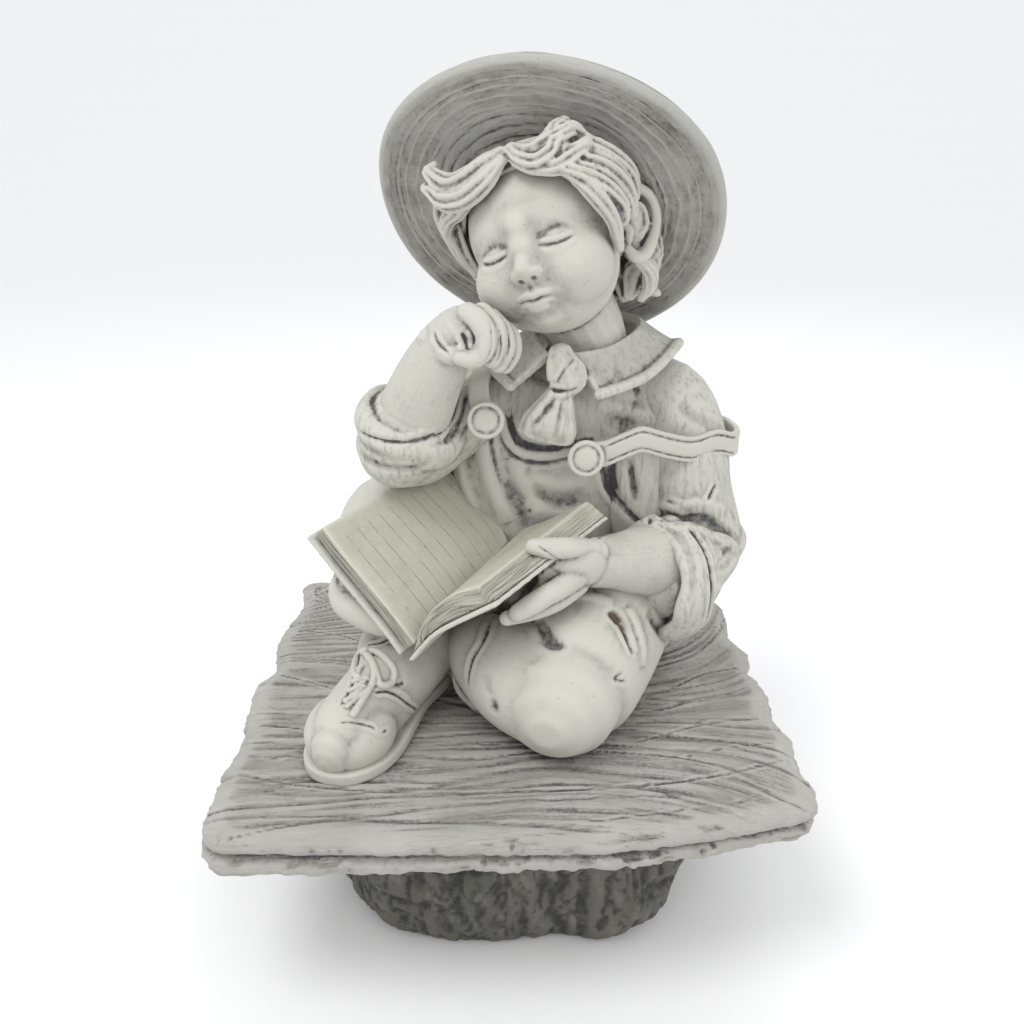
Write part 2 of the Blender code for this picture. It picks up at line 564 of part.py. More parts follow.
# Cracks between the plank's grain bands: start, bend and end, in shares of the half width and half depth
plank_cracks = [
    [(-0.96, -0.62), (-0.40, -0.72), (0.10, -0.70), (0.94, -0.56)],
    [(-0.97, -0.30), (-0.78, -0.32), (-0.60, -0.42)],
    [(-0.96, 0.12), (-0.80, 0.05), (-0.62, -0.06)],
    [(-0.93, 0.52), (-0.74, 0.44), (-0.56, 0.34)],
    [(0.42, -0.42), (0.70, -0.30), (0.97, -0.26)],
    [(0.56, -0.10), (0.76, 0.06), (0.96, 0.12)],
    [(0.66, 0.34), (0.82, 0.46), (0.94, 0.48)],
    [(-0.52, 0.92), (-0.10, 0.82), (0.60, 0.80)],
]
crack_width = 0.0034
crack_depth = 0.0022


def build_cracks():
    """Wedges that cut the plank's grain into its top face."""
    bm = bmesh.new()
    for crack in plank_cracks:
        line = [Vector((x * plank_width / 2, y * plank_depth / 2, plank_top)) for x, y in crack]
        loops = []
        for i, p in enumerate(line):
            run = (line[min(i + 1, len(line) - 1)] - line[max(i - 1, 0)]).normalized()
            aside = Vector((-run.y, run.x, 0))
            wide = crack_width * (0.45 if i in (0, len(line) - 1) else 1.0)
            deep = crack_depth * (0.45 if i in (0, len(line) - 1) else 1.0)
            loops.append([bm.verts.new(p + aside * wide + Vector((0, 0, 0.002))),
                          bm.verts.new(p - Vector((0, 0, deep))),
                          bm.verts.new(p - aside * wide + Vector((0, 0, 0.002)))])
        for near, far in zip(loops, loops[1:]):
            for k in range(3):
                n = (k + 1) % 3
                bm.faces.new((near[k], near[n], far[n], far[k]))
        bm.faces.new(loops[0][::-1])
        bm.faces.new(loops[-1])
    cutter = new_object("plank_crack_cutter", bm)
    cutter.hide_render = True
    cutter.display_type = "WIRE"
    return cutter


# Stump profile: share of the height, share of the top radius
stump_profile = [(0.0, 0.88), (0.03, 0.93), (0.12, 0.965), (0.26, 0.98), (0.42, 0.985), (0.58, 0.99), (0.74, 0.995),
                 (0.90, 1.0), (1.0, 1.0)]
# Knots, roots and grooves: angle in degrees, height share, spread in degrees and in height share, depth in metres
stump_marks = [
    (-62, 0.14, 11, 0.16, 0.012), (-50, 0.20, 8, 0.14, 0.009), (-38, 0.42, 9, 0.16, 0.008), (-28, 0.66, 10, 0.18, 0.009),
    (-79, 0.55, 5, 0.60, -0.007), (-54, 0.75, 4, 0.30, -0.006), (-128, 0.40, 9, 0.40, 0.005), (-108, 0.60, 5, 0.50, -0.004),
    (-150, 0.50, 6, 0.50, -0.005), (178, 0.40, 12, 0.50, 0.008), (140, 0.50, 6, 0.60, -0.006), (112, 0.30, 14, 0.35, 0.009),
    (80, 0.60, 6, 0.60, -0.006), (48, 0.30, 13, 0.30, 0.010), (20, 0.50, 6, 0.60, -0.006), (0, 0.35, 10, 0.40, 0.006),
]


def build_stump():
    bm = bmesh.new()
    count = 64
    loops = []
    for level, share in stump_profile:
        loop = []
        for k in range(count):
            angle = 360 * k / count
            turn = math.radians(angle)
            swell = 1 + 0.018 * math.sin(3 * turn + 0.6) + 0.012 * math.sin(7 * turn + 2.0 + level)
            push = 0.0
            for mark, height, wide, tall, deep in stump_marks:
                gap = (angle - mark + 180) % 360 - 180
                push += deep * math.exp(-(gap / wide) ** 2 - ((level - height) / tall) ** 2)
            bark = 0.0012 * math.sin(17 * turn + 5 * level)
            square = (abs(math.cos(turn)) ** 2.8 + abs(math.sin(turn)) ** 2.8) ** (-1 / 2.8)
            x = (stump_width / 2 * share * swell * square + push + bark) * math.cos(turn)
            y = (stump_depth / 2 * share * swell * square + push + bark) * math.sin(turn)
            loop.append(bm.verts.new((x, y, level * stump_height)))
        loops.append(loop)
    for low, high in zip(loops, loops[1:]):
        for k in range(count):
            n = (k + 1) % count
            bm.faces.new((low[k], low[n], high[n], high[k]))
    bm.faces.new(loops[0][::-1])
    bm.faces.new(loops[-1])
    bark = material("stump_stone", (0.13, 0.13, 0.11), 0.92)
    return new_object("stump_base", bm, bark)


clear_scene()
figure = build_figure()
plank = build_plank()
cutter = build_cracks()
cut = plank.modifiers.new("Cracks", "BOOLEAN")
cut.operation = "DIFFERENCE"
cut.solver = "EXACT"
cut.object = cutter
stump = build_stump()

root = bpy.data.objects.new("statue", None)
bpy.context.scene.collection.objects.link(root)
for node in (figure, plank, stump):
    node.parent = root
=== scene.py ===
import math

import bmesh
import bpy
import numpy as np
from mathutils import Matrix, Vector, noise
from mathutils.bvhtree import BVHTree
from mathutils.kdtree import KDTree


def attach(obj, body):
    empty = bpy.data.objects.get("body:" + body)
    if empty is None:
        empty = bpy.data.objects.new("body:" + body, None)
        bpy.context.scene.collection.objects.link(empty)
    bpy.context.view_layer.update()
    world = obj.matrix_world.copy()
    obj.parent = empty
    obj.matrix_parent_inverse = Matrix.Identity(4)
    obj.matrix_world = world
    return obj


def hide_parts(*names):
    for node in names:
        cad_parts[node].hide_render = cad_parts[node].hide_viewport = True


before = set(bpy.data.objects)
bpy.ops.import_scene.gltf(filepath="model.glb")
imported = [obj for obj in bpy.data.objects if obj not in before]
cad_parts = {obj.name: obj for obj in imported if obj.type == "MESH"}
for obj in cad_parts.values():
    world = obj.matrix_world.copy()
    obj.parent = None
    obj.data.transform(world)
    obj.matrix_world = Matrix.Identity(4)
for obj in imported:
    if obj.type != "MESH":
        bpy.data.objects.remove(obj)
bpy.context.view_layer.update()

coarser = 1.0

# Everything on the plank is laid out in millimetres above the plank's top face
floorHeight = 0.1616
eyePlace = Vector((-18, -685, 450.4))   # where the statue is looked at from, in the same millimetres


def metres(x, y, z):
    return Vector((x * 0.001, y * 0.001, floorHeight + z * 0.001))


def millimetres(spot):
    return (spot[0] * 1000, spot[1] * 1000, (spot[2] - floorHeight) * 1000)


def treeOf(piece):
    bm = bmesh.new()
    bm.from_mesh(piece.data)
    tree = BVHTree.FromBMesh(bm)
    bm.free()
    return tree


def smoothPath(points, steps):
    # stations along a smooth curve through the given ones
    rows = [np.array(p, float) for p in points]
    rows = [2 * rows[0] - rows[1]] + rows + [2 * rows[-1] - rows[-2]]
    made = []
    for a, b, c, d in zip(rows, rows[1:], rows[2:], rows[3:]):
        for k in range(steps):
            t = k / steps
            made.append(0.5 * (2 * b + (c - a) * t + (2 * a - 5 * b + 4 * c - d) * t ** 2
                               + (3 * b - a - 3 * c + d) * t ** 3))
    return made + [rows[-2]]


def closedPath(outline, steps):
    # a smooth loop through an outline
    ring = outline[-1:] + outline + outline[:2]
    made = []
    for four in zip(ring, ring[1:], ring[2:], ring[3:]):
        made += smoothPath(four, steps)[steps:2 * steps]
    return made


def turned(origin, yaw, roll, pitch):
    # a local grid: yaw about Z, then roll about Y, then pitch about X, in degrees
    turn = Matrix.Rotation(math.radians(yaw), 4, "Z") @ Matrix.Rotation(math.radians(roll), 4, "Y")
    return Matrix.Translation(origin) @ turn @ Matrix.Rotation(math.radians(pitch), 4, "X")


def placed(base, points):
    return [(*(base @ Vector(p[:3])), *p[3:]) for p in points]


def sighted(marks):
    # moves (x, z) marks on the front plane along the line of sight to their depth y
    made = []
    for x, z, y, *rest in marks:
        share = 1 - y / eyePlace.y
        made.append((eyePlace.x + (x - eyePlace.x) * share, y, eyePlace.z + (z - eyePlace.z) * share, *rest))
    return made


def bridgeRings(bm, rings, closed=False):
    # joins circles of vertices into one skin
    pairs = list(zip(rings, rings[1:])) + ([(rings[-1], rings[0])] if closed else [])
    for near, far in pairs:
        loops = []
        for ring in (near, far):
            own = set(ring)
            loops += list({e for v in ring for e in v.link_edges if e.other_vert(v) in own})
        bmesh.ops.bridge_loops(bm, edges=loops)
    if not closed:
        bmesh.ops.contextual_create(bm, geom=rings[0])
        bmesh.ops.contextual_create(bm, geom=rings[-1])


def poured(bm, part):
    # adds one finished body to the rest
    mesh = bpy.data.meshes.new("part")
    part.to_mesh(mesh)
    part.free()
    bm.from_mesh(mesh)
    bpy.data.meshes.remove(mesh)


def loft(bm, stations, sides=20, side=(0.31, 0.55, 0.77), flutes=0, fluteDepth=0.0, twist=0.0):
    # a closed body through (x, y, z, half width, half depth) stations, with round ends
    side = Vector(side)
    points = [Vector(s[:3]) for s in stations]
    last = len(stations) - 1
    part = bmesh.new()
    rings = []
    for i, station in enumerate(stations):
        wide, deep = station[3], station[-1]
        tangent = (points[min(i + 1, last)] - points[max(i - 1, 0)]).normalized()
        across = (side - tangent * side.dot(tangent)).normalized()
        up = tangent.cross(across)
        for angle in ([-75, -50, -25, 0] if i == 0 else [0, 25, 50, 75] if i == last else [0]):
            bend = math.radians(angle)
            thin = math.cos(bend) * 0.001
            place = Matrix((across * wide * thin, up * deep * thin, tangent * 0.001)).transposed().to_4x4()
            place.translation = metres(*(points[i] + tangent * min(wide, deep) * math.sin(bend)))
            ring = bmesh.ops.create_circle(part, segments=sides, radius=1.0, matrix=place)["verts"]
            for k, v in enumerate(ring if flutes else []):
                swell = 1 + fluteDepth * math.cos(flutes * 2 * math.pi * k / sides + twist * i / last)
                v.co = place.translation + (v.co - place.translation) * swell
            rings.append(ring)
    bridgeRings(part, rings)
    poured(bm, part)


def limb(bm, points, steps=4, sides=18, **kind):
    loft(bm, smoothPath(points, steps), sides, **kind)


def ball(bm, x, y, z, wide, deep=None, tall=None, tilt=(0, 0, 0), base=None, detail=4):
    deep = wide if deep is None else deep
    tall = wide if tall is None else tall
    place = turned((x, y, z), tilt[2], tilt[1], tilt[0]) @ Matrix.Diagonal((wide, deep, tall, 1.0))
    world = Matrix.Translation(metres(0, 0, 0)) @ Matrix.Scale(0.001, 4)
    place = world @ (base @ place if base else place)
    part = bmesh.new()
    bmesh.ops.create_icosphere(part, subdivisions=detail, radius=1.0, matrix=place)
    poured(bm, part)


def hoop(bm, base, wide, deep, thick, tall, sides=48, wobble=0.0, seed=0.0):
    # a rolled ring around base's Z axis, thick across and tall along it
    part = bmesh.new()
    rings = []
    for k in range(sides):
        turn = 2 * math.pi * k / sides
        outward = Vector((math.cos(turn), math.sin(turn), 0))
        sway = wobble * (math.sin(3 * turn + seed) + 0.6 * math.sin(7 * turn + 2 * seed))
        middle = Vector((wide * math.cos(turn), deep * math.sin(turn), sway))
        place = Matrix((outward * thick, Vector((0, 0, tall)), outward.cross(Vector((0, 0, 1))))).transposed().to_4x4()
        place.translation = middle
        world = Matrix.Translation(metres(0, 0, 0)) @ Matrix.Scale(0.001, 4)
        rings.append(bmesh.ops.create_circle(part, segments=14, radius=1.0, matrix=world @ base @ place)["verts"])
    bridgeRings(part, rings, closed=True)
    poured(bm, part)


def leaf(bm, near, far, thick, rows=6):
    # a sheet between two matching lines, thickened on both faces
    near, far = [Vector(p[:3]) for p in near], [Vector(p[:3]) for p in far]
    part = bmesh.new()
    lines = []
    for j in range(rows + 1):
        lines.append([part.verts.new(metres(*n.lerp(f, j / rows))) for n, f in zip(near, far)])
    edges = [[part.edges.new(pair) for pair in zip(line, line[1:])] for line in lines]
    for low, high in zip(edges, edges[1:]):
        bmesh.ops.bridge_loops(part, edges=low + high)
    bmesh.ops.recalc_face_normals(part, faces=part.faces)
    bmesh.ops.solidify(part, geom=part.faces, thickness=thick * 0.001)
    poured(bm, part)


def sortKey(part, many):
    spots = [v.index for v in part.verts]
    return min(spots) * many + max(spots) + sum(spots) / (len(spots) * many)


def newObject(name, bm):
    bmesh.ops.recalc_face_normals(bm, faces=bm.faces)
    if bm.calc_volume(signed=True) < 0:
        print(name, "turned outward")
        bmesh.ops.reverse_faces(bm, faces=bm.faces)
    # edges and faces in one order in every run, so that thinning gives the same mesh
    bm.verts.index_update()
    many = len(bm.verts)
    bm.edges.sort(key=lambda part: sortKey(part, many))
    bm.faces.sort(key=lambda part: sortKey(part, many))
    mesh = bpy.data.meshes.new(name)
    bm.to_mesh(mesh)
    bm.free()
    made = bpy.data.objects.new(name, mesh)
    bpy.context.scene.collection.objects.link(made)
    return made


def applied(piece):
    graph = bpy.context.evaluated_depsgraph_get()
    mesh = bpy.data.meshes.new_from_object(piece.evaluated_get(graph))
    piece.modifiers.clear()
    piece.data = mesh
    return piece


def fused(piece, voxel, soften=2, strength=0.5):
    # melts overlapping bodies into one skin of even faces
    remesh = piece.modifiers.new("Fuse", "REMESH")
    remesh.mode = "VOXEL"
    remesh.voxel_size = voxel * 0.001 * coarser
    if soften:
        smooth = piece.modifiers.new("Soften", "SMOOTH")
        smooth.factor = strength
        smooth.iterations = soften
    return applied(piece)


class Clay:
    # the vertices of a piece, moved the way sculpting brushes move them
    def __init__(self, piece):
        self.piece = piece
        self.count = len(piece.data.vertices)
        flat = np.empty(self.count * 3)
        piece.data.vertices.foreach_get("co", flat)
        self.spots = (flat.reshape(-1, 3) - np.array(metres(0, 0, 0))) * 1000
        pairs = np.empty(len(piece.data.edges) * 2, dtype=np.int64)
        piece.data.edges.foreach_get("vertices", pairs)
        self.pairs = pairs.reshape(-1, 2)
        self.links = np.maximum(np.bincount(pairs, minlength=self.count), 1)
        self.stain = np.zeros(self.count)
        self.cloth = np.zeros(self.count)
        self.brown = np.zeros(self.count)
        self.refresh()

    def write(self):
        flat = (self.spots * 0.001 + np.array(metres(0, 0, 0))).reshape(-1)
        self.piece.data.vertices.foreach_set("co", flat)
        self.piece.data.update()

    def refresh(self):
        self.write()
        flat = np.empty(self.count * 3)
        self.piece.data.vertices.foreach_get("normal", flat)
        self.normals = flat.reshape(-1, 3)

    def average(self, values):
        a, b = self.pairs[:, 0], self.pairs[:, 1]
        total = np.zeros_like(values)
        for k in range(values.shape[1]):
            total[:, k] = (np.bincount(a, values[b, k], self.count) + np.bincount(b, values[a, k], self.count))
        return total / self.links[:, None]

    def relax(self, times, where=None, strength=0.5):
        for _ in range(times):
            step = (self.average(self.spots) - self.spots) * strength
            self.spots += step if where is None else step * where[:, None]
        self.refresh()

    def gap(self, path):
        # distance from each vertex to a path, and how far along it (0 to 1)
        path = np.array(path, float)
        best = np.full(self.count, 1e9)
        along = np.zeros(self.count)
        count = len(path) - 1
        for i, (a, b) in enumerate(zip(path, path[1:])):
            d = b - a
            t = np.clip(((self.spots - a) @ d) / max(d @ d, 1e-9), 0, 1)
            far = np.linalg.norm(self.spots - a - t[:, None] * d, axis=1)
            near = far < best
            best[near] = far[near]
            along[near] = (i + t[near]) / count
        return best, along

    def stroke(self, path, width, depth, form="groove", stain=0.0, taper=0.25, facing=None, smooth=4,
               brown=0.0):
        # a brush drawn along a path: depth in mm, outward if positive
        best, along = self.gap(smoothPath(path, smooth) if smooth else path)
        x = best / width
        if form == "groove":
            shape = np.where(x < 1, (1 - np.minimum(x, 1) ** 2) ** 2, 0)
        elif form == "crease":
            shape = np.exp(-(x / 0.33) ** 2) - 0.33 * np.exp(-((x - 0.95) / 0.42) ** 2)
        else:
            shape = np.exp(-(x / 0.6) ** 2)
        fade = np.clip(np.minimum(along, 1 - along) / taper, 0, 1) ** 0.7 if taper else 1.0
        if facing is not None:
            fade = fade * np.clip((self.normals @ np.array(Vector(facing).normalized())) * 2 + 0.6, 0, 1)
        amount = shape * fade
        self.spots += self.normals * (amount * depth)[:, None]
        if stain:
            self.stain = np.maximum(self.stain, stain * fade * np.exp(-(best / min(width * 0.32, 1.5)) ** 2))
        if brown:
            self.brown = np.maximum(self.brown, brown * fade * np.exp(-(best / width) ** 2))
        return amount

    def patch(self, centre, reach, base=None):
        # 1 at the centre of a round patch and 0 at its edge, in the piece's grid or in base's
        size = np.array(reach if isinstance(reach, (tuple, list)) else (reach,) * 3, float)
        local = self.spots - np.array(base @ Vector(centre) if base else Vector(centre))
        if base:
            local = local @ np.array(base.to_3x3())
        x = np.minimum(np.linalg.norm(local / size, axis=1), 1)
        return ((1 - x ** 2) ** 2)[:, None]

    def pull(self, centre, reach, move, base=None):
        move = base.to_3x3() @ Vector(move) if base else Vector(move)
        self.spots += self.patch(centre, reach, base) * np.array(move)

    def swell(self, centre, reach, amount, base=None):
        self.spots += self.normals * (self.patch(centre, reach, base) * amount)

    def surface(self):
        self.write()
        self.skin = treeOf(self.piece)

    def nearest(self, points):
        self.surface()
        return [millimetres(self.skin.find_nearest(metres(*p))[0]) for p in points]

    def seen(self, points, base=None):
        # the points of the surface behind (x, z) marks: on the front plane y = 0, or on base's own front
        if not hasattr(self, "skin"):
            self.surface()
        found = []
        for x, z in points:
            start, aim = eyePlace, Vector((x, 0, z))
            if base:
                start, aim = base @ Vector((x, -200, z)), base @ aim
            hit = self.skin.ray_cast(metres(*start), (aim - start).normalized())[0]
            if hit is None:
                hit = self.skin.find_nearest(metres(*aim))[0]
            found.append(millimetres(hit))
        return found

    def carve(self, rows, find=None, **kind):
        # strokes drawn one after another: marks, width, depth, form and stain
        for marks, wide, deep, form, dark in rows:
            self.stroke((find or self.seen)(marks), wide, deep, form, stain=dark, **kind)
            self.refresh()

    def keep(self):
        self.refresh()
        for name, values in (("stain", self.stain), ("cloth", self.cloth), ("brown", self.brown)):
            store(self.piece, name, np.clip(values, 0, 1))
        return self.piece


def store(piece, name, values, kind="FLOAT"):
    made = piece.data.attributes.new(name, kind, "POINT")
    made.data.foreach_set("value" if kind == "FLOAT" else "vector", np.ascontiguousarray(values).reshape(-1))


pieces = {}


def finished(piece, node="boy_figure", keepShare=0.61):
    if keepShare < 1:
        thin = piece.modifiers.new("Thin", "DECIMATE")
        thin.ratio = keepShare
        applied(piece)
    piece.data.polygons.foreach_set("use_smooth", np.ones(len(piece.data.polygons), dtype=bool))
    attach(piece, "root")
    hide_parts(node)
    pieces[piece.name] = piece
    print(piece.name, sum(len(p.vertices) - 2 for p in piece.data.polygons), "triangles")


hatSizes = {
    "centre": (27, 85, 382), "crown": (0.229, 0.778, 0.586), "steps": 260,
    "braidWidth": 8.6, "braidDepth": 0.95, "braidTop": 0.62, "rimCrack": 1.6,
    "wallHeight": 11, "wallRadius": 66, "bandLow": 12, "bandHigh": 24, "bandProud": 2.6, "rimRadius": 126,
    "under": [(0, 6), (30, 3), (60, 1), (84, 0), (104, -1), (120, -3), (129, -6.3)],
    "rim": [(129, -6.3), (133, -6.8), (135.6, -4.6), (136.2, -1.2), (134.6, 2.6), (129, 4.6)],
    "top": [(129, 4.6), (108, 6.4), (86, 7.6), (68, 9.4), (62.5, 12)],
    "crownWall": [(62.5, 12), (61.2, 18), (60.6, 34), (57, 49), (45, 60), (24, 64.5), (0.0, 66)],
}


def hatGrid():
    # local X to the viewer's right, local Y up the brim, local Z out of the crown
    crown = Vector(hatSizes["crown"]).normalized()
    across = crown.cross(Vector((0, 0, 1))).normalized()
    turn = Matrix((across, -crown.cross(across), crown)).transposed().to_4x4()
    return Matrix.Translation(hatSizes["centre"]) @ turn


def makeHat():
    profile = []
    for name, step in (("under", 1.15), ("rim", 1.0), ("top", 1.8), ("crownWall", 1.8)):
        fine = smoothPath(hatSizes[name], 12)
        length = sum(np.linalg.norm(b - a) for a, b in zip(fine, fine[1:]))
        count = int(length / (step * coarser))
        marks = np.linspace(0, len(fine) - 1, count + 1)
        for m in marks[:-1] if name != "crownWall" else marks:
            i = min(int(m), len(fine) - 2)
            profile.append(fine[i] + (fine[i + 1] - fine[i]) * (m - i))
    bm = bmesh.new()
    line = [bm.verts.new((max(r, 0.0), 0, h)) for r, h in profile]
    edges = [bm.edges.new(pair) for pair in zip(line, line[1:])]
    bmesh.ops.spin(bm, geom=line + edges, cent=(0, 0, 0), axis=(0, 0, 1), angle=2 * math.pi,
                   steps=hatSizes["steps"], use_merge=True)
    bmesh.ops.remove_doubles(bm, verts=bm.verts, dist=0.02)
    base = hatGrid()
    width, depth, middle = [hatSizes[name] for name in ("braidWidth", "braidDepth", "braidTop")]
    bandLow, bandHigh = hatSizes["bandLow"], hatSizes["bandHigh"]
    stain = bm.verts.layers.float.new("stain")
    weave = bm.verts.layers.float_vector.new("weave")
    for v in bm.verts:
        r, h = math.hypot(v.co.x, v.co.y), v.co.z
        turn = math.atan2(v.co.y, v.co.x)
        c, s = math.cos(turn), math.sin(turn)
        under = h < 8 - 0.09 * r + (3 if r < 60 else 0)
        wall = h > hatSizes["wallHeight"] and r < hatSizes["wallRadius"]
        # the brim isn't a true circle, and dips and lifts as straw does
        far = min(max((r - 70) / 64, 0), 1)
        grow = 1 + far * (0.012 * math.sin(3 * turn + 0.5) + 0.03 * math.cos(turn + 0.55))
        lift = far ** 2 * (2.6 * math.sin(2 * turn + 1.0) + 1.4 * math.sin(5 * turn))
        lift += far * 1.0 * noise.noise(Vector((c * 2.2, s * 2.2, 4.0)))
        wander = 3.2 * noise.noise(Vector((c * 1.6, s * 1.6, r / 34)))
        wander += 1.5 * noise.noise(Vector((c * 5, s * 5, r / 14)))
        braid = ((r + wander) / width) % 1.0
        relief = (math.sin(math.pi * braid) ** 0.55 - middle) * depth
        relief += 0.34 * noise.noise(Vector((c * 9, s * 9, r / 2.6)))
        strong = 0.55 + 0.75 * abs(noise.noise(Vector((c * 1.2 + 7, s * 1.2, r / 40))))
        band = min(max((r - 58) / 8, 0), 1) * min(max((126 - r) / 6, 0), 1)
        if r > hatSizes["rimRadius"]:
            relief = 0.5 * noise.noise(Vector((c * 7, s * 7, r / 5 + h / 4)))
            band = 1.0
            strong = 1.0
        if wall:
            braid = ((h + 0.6 * wander) / width) % 1.0 if r > 50 else braid
            relief = (math.sin(math.pi * braid) ** 0.55 - middle) * depth * 0.8
            band = 1.0
        push = relief * band * strong
        v[stain] = max(0.0, min(1.0, (-push - 0.12) * 1.3))
        # the dark crack that runs round the right of the rim, between its two layers
        crack = math.exp(-((h - 0.8 - 1.2 * noise.noise(Vector((c * 6, s * 6, 1)))) / 0.9) ** 2) if r > 130 else 0
        right = min(max((math.cos(turn - 0.35) + 0.25) * 2.2, 0), 1)
        v[stain] = max(v[stain], crack * right)
        v[weave] = (c * 2, s * 2, (r + h) / 3)
        side = -1 if under else 1
        wide = r * grow - crack * right * hatSizes["rimCrack"]
        if wall:
            wide += push
            if bandLow < h < bandHigh:
                wide += hatSizes["bandProud"] * min(1, (h - bandLow) / 1.5) * min(1, (bandHigh - h) / 1.5)
        else:
            h += push * side
        v.co = metres(*(base @ Vector((wide * c, wide * s, h + lift))))
    return newObject("strawHat", bm)


finished(makeHat())


headBase = turned((26, 40, 366), -22, -19, -8)
hairLocks = [   # in the head's own grid: x, y, z, radius
    [(-1, -43, 58, 5), (-12, -46, 53, 8), (-28, -46, 48, 9), (-44, -43, 49, 8), (-54, -40, 56, 7),
     (-61, -38, 65, 5), (-57, -35, 69, 3)],
    [(-1, -48, 52, 4), (-15, -50, 43, 7), (-34, -47, 38, 8), (-52, -42, 42, 8), (-62, -38, 51, 6), (-69, -36, 56, 3.5)],
    [(-33, -43, 35, 4), (-47, -37, 32, 6), (-59, -29, 31, 6), (-67, -22, 24, 5), (-67, -15, 14, 3)],
    [(-60, -30, 49, 6), (-65, -22, 38, 8), (-66, -13, 24, 8), (-65, -6, 7, 7), (-61, 0, -8, 4)],
    [(-50, -20, 44, 9), (-63, -6, 28, 10), (-66, 7, 10, 9), (-64, 15, -10, 7), (-60, 19, -26, 4)],
    [(7, -43, 58, 5), (14, -48, 49, 7), (25, -49, 43, 8), (36, -46, 46, 8), (43, -41, 54, 7), (50, -35, 58, 6),
     (55, -30, 54, 3.5)],
    [(12, -41, 57, 5), (24, -45, 51, 7), (34, -43, 54, 7), (39, -37, 61, 6), (45, -30, 66, 4)],
    [(24, -50, 38, 4), (37, -48, 36, 6), (48, -43, 40, 6.5), (56, -37, 45, 5), (58, -30, 50, 3.5)],
    [(39, -48, 35, 4), (50, -44, 28, 7), (59, -36, 20, 7.5), (65, -28, 11, 7), (68, -20, 1, 5), (65, -14, -8, 3.5)],
    [(47, -45, 26, 4), (54, -41, 17, 6), (59, -34, 6, 6.5), (61, -26, -5, 5.5), (59, -18, -16, 4.5), (57, -12, -25, 3)],
    [(54, -36, 36, 7), (63, -30, 29, 8), (68, -20, 20, 8), (70, -10, 9, 7), (68, -3, -3, 4.5)],
    [(46, -32, 47, 8), (57, -26, 42, 9), (66, -16, 33, 9), (71, -3, 23, 8), (69, 9, 11, 6)],
    [(-48, -28, 44, 8), (-32, -33, 50, 8), (-14, -34, 53, 8), (6, -35, 55, 8), (24, -32, 54, 8), (40, -26, 52, 8)],
    [(60, 20, -33, 4.5), (64, 28, -43, 6), (59, 34, -54, 5), (50, 36, -61, 3)],
    [(60, 50, -10, 6), (62, 58, -14, 8), (62, 54, -30, 8), (56, 48, -44, 7), (56, 44, -54, 5), (62, 42, -60, 3)],
    [(52, 64, -2, 8), (54, 66, -20, 9), (50, 60, -38, 8), (44, 54, -52, 6)],
    [(-60, 52, -2, 7), (-64, 52, -16, 8), (-60, 48, -32, 7), (-52, 44, -46, 5)],
    [(-52, 52, -4, 8), (-56, 52, -22, 9), (-50, 48, -40, 7)],
]
face = {"eyeX": 23.5, "eyeZ": -8, "noseZ": -26, "mouthZ": -46}


